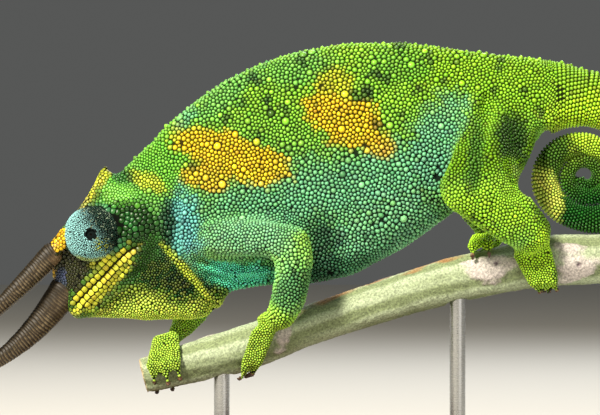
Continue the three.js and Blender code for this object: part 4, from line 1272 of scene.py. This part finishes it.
def horn_mesh(horn):
    """A horn with its rings carved and painted."""
    rings = round(horn["length"] / HORN_STEP)

    def where(s):
        return HORN_BACK + s * (1 - HORN_BACK)

    def place(s, angle):
        share = where(s)
        along = (horn_line(horn, share + 0.01) - horn_line(horn, share - 0.01)).normalized()
        across = Vector((0, 1, 0))
        upward = along.cross(across).normalized()
        thick, tip = horn["thick"]
        half = thick + (tip - thick) * max(0, share) ** 1.25
        half *= math.sqrt(max(0, 1 - max(0, (share - 0.97) / 0.03) ** 2))
        covered = float(soft_step(horn["hidden"] + 1, horn["hidden"] - 1, share * horn["length"]))
        half *= 1 - ROOT_TAPER * covered
        ring, strength = ring_at(horn, share, angle)
        lump = noise.noise(Vector((math.cos(angle) * 2, math.sin(angle) * 2, share * horn["length"] / 2)))
        half += (RING_HEIGHT * strength * (ring - 0.6) + 0.1 * lump) * min(1, half)
        return horn_line(horn, share) + (across * math.sin(angle) * 0.92 + upward * math.cos(angle)) * half

    def paint(s, angle):
        share = where(s)
        length = share * horn["length"]
        ring, strength = ring_at(horn, share, angle)
        dash = noise.noise(Vector((math.cos(angle) * 9, math.sin(angle) * 9, length * 0.8)))
        drift = noise.noise(Vector((math.cos(angle), math.sin(angle), length / 6)))
        worn = np.clip(ring * 1.25 - 0.35 + 0.7 * dash, 0, 1) * (0.35 + 0.65 * strength)
        groove = float(soft_step(0.22, 0.02, ring)) * strength * 0.85
        # the underside: olive brown, darkened further as painted shade
        under = float(soft_step(0.35, -0.5, math.cos(angle) + 0.5 * drift))
        colour = mix(mix(HORN_BROWN, HORN_WORN, worn), HORN_GROOVE, groove)
        colour = mix(colour, HORN_OLIVE_AND_SHADE * (0.6 + 0.6 * worn), 0.85 * under)
        collar = float(soft_step(5, 3.6, length)) * (1 - under) * 0.5
        return mix(colour, HORN_COLLAR, collar)

    return swept(rings, 40, place, paint)


# Horn keratin: dry and matt in the grooves, rubbed to a dull shine on the rings.
horn_keratin, shader, marks, fibre = marked_material("horn_keratin", 0.35, {"Detail": 4, "Roughness": 0.6},
                                                     Roughness=0.5, Specular_IOR_Level=0.35)
feed(shader, {"Base Color": toned(horn_keratin, marks, fibre, {"To Min": 0.6, "To Max": 1.35}),
              "Normal": bump(horn_keratin, fibre, 0.5, 0.08)})

for name, horn in HORNS.items():
    piece = new_object(f"ringed_{name}", horn_mesh(horn), MM, horn_keratin)
    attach(piece, "root")
    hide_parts(name)

# ---------------------------------------------------------------- claws
# Twenty short hooked claws of dark horn, five to a foot, brown where they leave the toe and nearly black at
# the tip. Each is the solid's own hook, rounded.

CLAW_LENGTH = 2.3
CLAW_SWELL = 0.1  # how much fuller a claw is than the solid's, before it is rounded
CLAW_SUNK = 0.4  # how deep a claw's root lies in the toe
CLAW_SHORTER = 0.5  # how much nearer its toe a claw's tip is than the solid's
CLAW_ROOT, CLAW_TIP = linear("#b08868"), linear("#4a3426")

# Claw horn: smooth and faintly mottled, with the shine of a fingernail.
claw_horn, shader, marks, fibre = marked_material("claw_horn", 0.4, {"Detail": 3}, Roughness=0.32)
feed(shader, {"Base Color": toned(claw_horn, marks, fibre, {"To Min": 0.65, "To Max": 1.3})})

for leg in LEGS:
    names = [f"{leg}_claw_{number}" for number in range(1, 6)]
    claws = bmesh.new()
    for name in names:
        join(claws, flesh_solid(name, CLAW_SWELL))
    bmesh.ops.subdivide_edges(claws, edges=claws.edges, cuts=2, smooth=0.7, use_grid_fill=True)
    bmesh.ops.smooth_vert(claws, verts=claws.verts, factor=0.3, use_axis_x=True, use_axis_y=True,
                          use_axis_z=True)
    found = [skin_finder.find_nearest(vert.co) for vert in claws.verts]
    reach = np.array([hit[3] for hit in found])
    for vert, hit, gap in zip(claws.verts, found, reach):
        vert.co += (hit[0] - hit[1] * CLAW_SUNK - vert.co) * float(soft_step(1.2, 0.5, gap))
        vert.co -= (vert.co - hit[0]) * CLAW_SHORTER * float(soft_step(0.8, 2, gap))
    dark = soft_step(0.1, 0.7, reach / CLAW_LENGTH)[:, None]
    painted(claws, mix(CLAW_ROOT, CLAW_TIP, dark))
    piece = new_object(f"claws_{leg}", claws, MM, claw_horn)
    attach(piece, "root")
    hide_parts(*names)

# ---------------------------------------------------------------- perch
# A cut length of living branch: thin grey-green bark with fine pale warts, broad ridges along it, smooth
# pinkish scars where leaves have dropped, and a sawn end at each end. It is the solid, closed and carved.

BARK_MESH = 0.5
BARK_SUNK = 0.2  # how far the bark's hollows lie below the solid's surface
END = 4  # the sawn ends are looked for this near the branch's two ends
# Leaf scars: x, angle round the branch in degrees from the top towards the near side, and half length.
SCARS = [(45.5, 70, 6.4), (68.6, 100, 5.4), (18, -70, 4.5), (-12, 60, 2.2), (-33, -60, 4), (58, -120, 4.5),
         (84, 10, 4)]
BARK, BARK_MOSS, BARK_STREAK, SCAR, SCAR_PIT, CUT_WOOD, CUT_DARK = [
    linear(code) for code in ("#b8c8a4", "#8c9c70", "#b57a42", "#dccfd2", "#5c4454", "#d9c39a", "#a98555")]

bark_points, bark_faces, _ = one_surface([flesh_solid("perch", 0)], BARK_MESH)
bark_edges = edges_of(bark_faces)
facing = normals_of(bark_points, bark_faces)
ends = soft_step(0.55, 0.8, np.abs(spread(facing, bark_edges, 2)[:, 0]))
x = bark_points[:, 0]
ends *= (x < x.min() + END) | (x > x.max() - END)
bark_points = spread(bark_points, bark_edges, 30, 0.5 * (1 - ends))

# The branch's pith, as its height along x, from slices 2 mm apart.
slices = np.round(bark_points[:, 0] / 2).astype(int)
slices -= slices.min()
level = np.bincount(slices, bark_points[:, 2]) / np.bincount(slices)
pith = np.interp(bark_points[:, 0], np.bincount(slices, bark_points[:, 0]) / np.bincount(slices), level)
from_pith = bark_points[:, 2] - pith
turn = np.arctan2(-bark_points[:, 1], from_pith)
x = bark_points[:, 0]
stretched = bark_points / (9, 2.5, 2.5)
coarse, fine = np.array([[noise.noise(Vector(long)), noise.noise(Vector(point) / 0.9)]
                         for long, point in zip(stretched, bark_points)]).T

# Ridges along the branch, and leaf scars: raised, with a pit where the leaf's veins entered.
ridges = np.cos(5 * turn + 0.8 * np.sin(x / 17)) + 0.5 * np.cos(9 * turn - x / 23) + 0.8 * coarse
scarred, pitted = np.zeros((2, len(x)))
for scar_x, angle, long in SCARS:
    away = np.abs((turn - math.radians(angle) + math.pi) % (2 * math.pi) - math.pi)
    slant = (x - scar_x) / long + 0.5 * away
    within = np.hypot(slant, away / 0.85) + 0.9 * coarse + 0.3 * fine
    scarred = np.maximum(scarred, soft_step(1.2, 0.6, within))
    pitted = np.maximum(pitted, soft_step(0.9, 0.3, np.hypot(x - scar_x - 1, away * 7) / 1.1))
height = 0.16 * ridges * (1 - scarred) + 0.14 * fine + 0.5 * scarred - 0.5 * pitted - BARK_SUNK
bark_points += normals_of(bark_points, bark_faces) * (height * (1 - ends))[:, None]
lowest, highest = np.array(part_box("perch")) / MM
bark_points = np.clip(bark_points, lowest, highest)

# Colours: grey-green with mossy hollows, a broken rusty streak along the top, scars, and growth rings on the
# ends.
RING_WIDTH = 1.1
off_streak = np.abs(turn + 0.35 * np.sin(x / 11) - 0.1) + 0.5 * coarse
streak = soft_step(0.5, 0.12, off_streak) * soft_step(-0.35, 0.3, np.sin(x / 13 + 0.4))
mossy = soft_step(-0.2, 0.7, ridges * -0.5 + 0.3)
colours = mix(BARK, BARK_MOSS, mossy[:, None])
for share, colour in ((streak * 0.8, BARK_STREAK), (scarred * 0.75, SCAR), (pitted * 0.8, SCAR_PIT)):
    colours = mix(colours, colour, share[:, None])
rings = 0.5 + 0.5 * np.cos(2 * np.pi * np.hypot(bark_points[:, 1], from_pith) / RING_WIDTH)
cut = mix(CUT_WOOD, CUT_DARK, 0.45 * rings[:, None])
colours = mix(colours, cut, ends[:, None])

# Young bark: matt and finely warty. Its pale warts are about 0.5 mm apart.
bark, shader, marks, warts = marked_material("young_bark", 0.55, {"Detail": 3, "Roughness": 0.65},
                                             Roughness=0.75)
bark_tones = {"From Min": 0.35, "From Max": 0.68, "To Min": 0.5, "To Max": 1.25}
feed(shader, {"Base Color": toned(bark, marks, warts, bark_tones), "Normal": bump(bark, warts, 0.8, 0.2)})

branch = surface_object("branch", bark_points, bark_faces, colours, bark)
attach(branch, "root")
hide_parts("perch")

# ---------------------------------------------------------------- stand
# A plain museum stand: an oiled walnut slab with a moulded edge, and two polished steel rods with small
# flanges, screwed down into the slab and up into the branch.

EDGE_ROUND = 2.4 * MM
CORNER_ROUND = 3 * MM
FOOT_ROUND = 0.5 * MM
FLANGE = [(0, 0), (5.6, 0), (5.6, 0.7), (5.1, 1.3), (3.7, 1.6), (3, 2.1), (2.7, 3.2), (2.2, 3.7)]
ROD_EDGE = 0.3  # the rod's top is bevelled by this


def round_off(made, ends, radius, segments):
    """Rounds the edges whose two ends, from low to high, lie at these heights."""
    edges = [edge for edge in made.edges
             if np.allclose(sorted(vert.co.z for vert in edge.verts), ends, rtol=0, atol=1e-6)]
    bmesh.ops.bevel(made, geom=edges, offset=radius, segments=segments, profile=0.5, affect="EDGES",
                    material=-1)


low, high = [Vector(corner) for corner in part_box("stand_base")]
slab = bmesh.new()
bmesh.ops.create_cube(slab, size=1)
bmesh.ops.scale(slab, vec=high - low, verts=slab.verts)
bmesh.ops.translate(slab, vec=(low + high) / 2, verts=slab.verts)
round_off(slab, (low.z, high.z), CORNER_ROUND, 6)
round_off(slab, (high.z, high.z), EDGE_ROUND, 6)
round_off(slab, (low.z, low.z), FOOT_ROUND, 2)
base = new_object("walnut_base", slab)
base.data.set_sharp_from_angle(angle=math.radians(40))

# Oiled walnut: dark brown bands 5 mm or so apart along the slab, fine pores, and a low satin shine.
walnut, shader = new_material("oiled_walnut", Roughness=0.42)
bands = stretched_grain(walnut, (70, 5, 5), {"Detail": 6, "Roughness": 0.55, "Distortion": 0.6})
pores = stretched_grain(walnut, (6, 0.35, 0.35), {"Detail": 2})
wood = add_node(walnut, "ShaderNodeValToRGB", feeds={"Fac": bands})
for stop, place, code in zip(wood.color_ramp.elements, (0.32, 0.7), ("#3a2416", "#7a5335")):
    stop.position = place
    stop.color = (*linear(code), 1)
pore_tones = {"From Min": 0.4, "From Max": 0.55, "To Min": 0.6, "To Max": 1}
feed(shader, {"Base Color": toned(walnut, wood.outputs["Color"], pores, pore_tones),
              "Normal": bump(walnut, pores, 0.4, 0.08)})
base.data.materials.append(walnut)
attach(base, "root")
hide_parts("stand_base")

# Polished stainless steel, turned: hair-fine rings round the rod, 0.15 mm apart.
steel, shader = new_material("turned_steel", Base_Color=(*linear("#c3c5c6"), 1), Metallic=1, Roughness=0.24)
lines = stretched_grain(steel, (8, 8, 0.15), {"Detail": 2})
shine = add_node(steel, "ShaderNodeMapRange", {"To Min": 0.16, "To Max": 0.36}, {"Value": lines})
feed(shader, {"Roughness": shine.outputs["Result"], "Normal": bump(steel, lines, 0.15, 0.02)})

for name in ("stand_rod_front", "stand_rod_back"):
    low, high = [Vector(corner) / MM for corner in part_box(name)]
    radius = (high.x - low.x) / 2
    top = high.z - low.z
    rod = spun([*FLANGE, (radius, top - ROD_EDGE), (radius - ROD_EDGE, top), (0, top)], 48)
    bmesh.ops.translate(rod, vec=((low.x + high.x) / 2, (low.y + high.y) / 2, low.z), verts=rod.verts)
    piece = new_object(f"steel_{name[6:]}", rod, MM, steel)
    piece.data.set_sharp_from_angle(angle=math.radians(35))
    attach(piece, "root")
    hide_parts(name)

# ---------------------------------------------------------------- floor and lights
# A plain pale studio: a large soft key from the left, a wide fill, and a light behind.


def area_light(name, place, size, power, code):
    """A square light that faces the middle of the view."""
    lamp = bpy.data.lights.new(name, "AREA")
    lamp.size = size
    lamp.energy = power
    lamp.color = linear(code)
    new = linked(name, lamp)
    new.location = place
    new.rotation_euler = (VIEW_CENTRE - Vector(place)).to_track_quat("-Z", "Y").to_euler()


area_light("key", (-0.56, -0.76, 0.96), 0.2, 34, "#fff4e2")
area_light("fill", (0.8, -1, 0.4), 0.9, 2.8, "#fff8f0")
area_light("back", (0.2, 0.7, 0.8), 0.6, 6, "#f4f8ff")
world = bpy.data.worlds.new("studio")
scene.world = world
world.use_nodes = True
world.node_tree.nodes["Background"].inputs["Color"].default_value = (0.86, 0.88, 0.86, 1)
world.node_tree.nodes["Background"].inputs["Strength"].default_value = 0.11

made = bmesh.new()
bmesh.ops.create_grid(made, x_segments=1, y_segments=1, size=3)
pale, _ = new_material("pale_floor", Base_Color=(*linear("#d9d7cf"), 1), Roughness=0.7)
floor = new_object("floor", made, 1.0, pale)
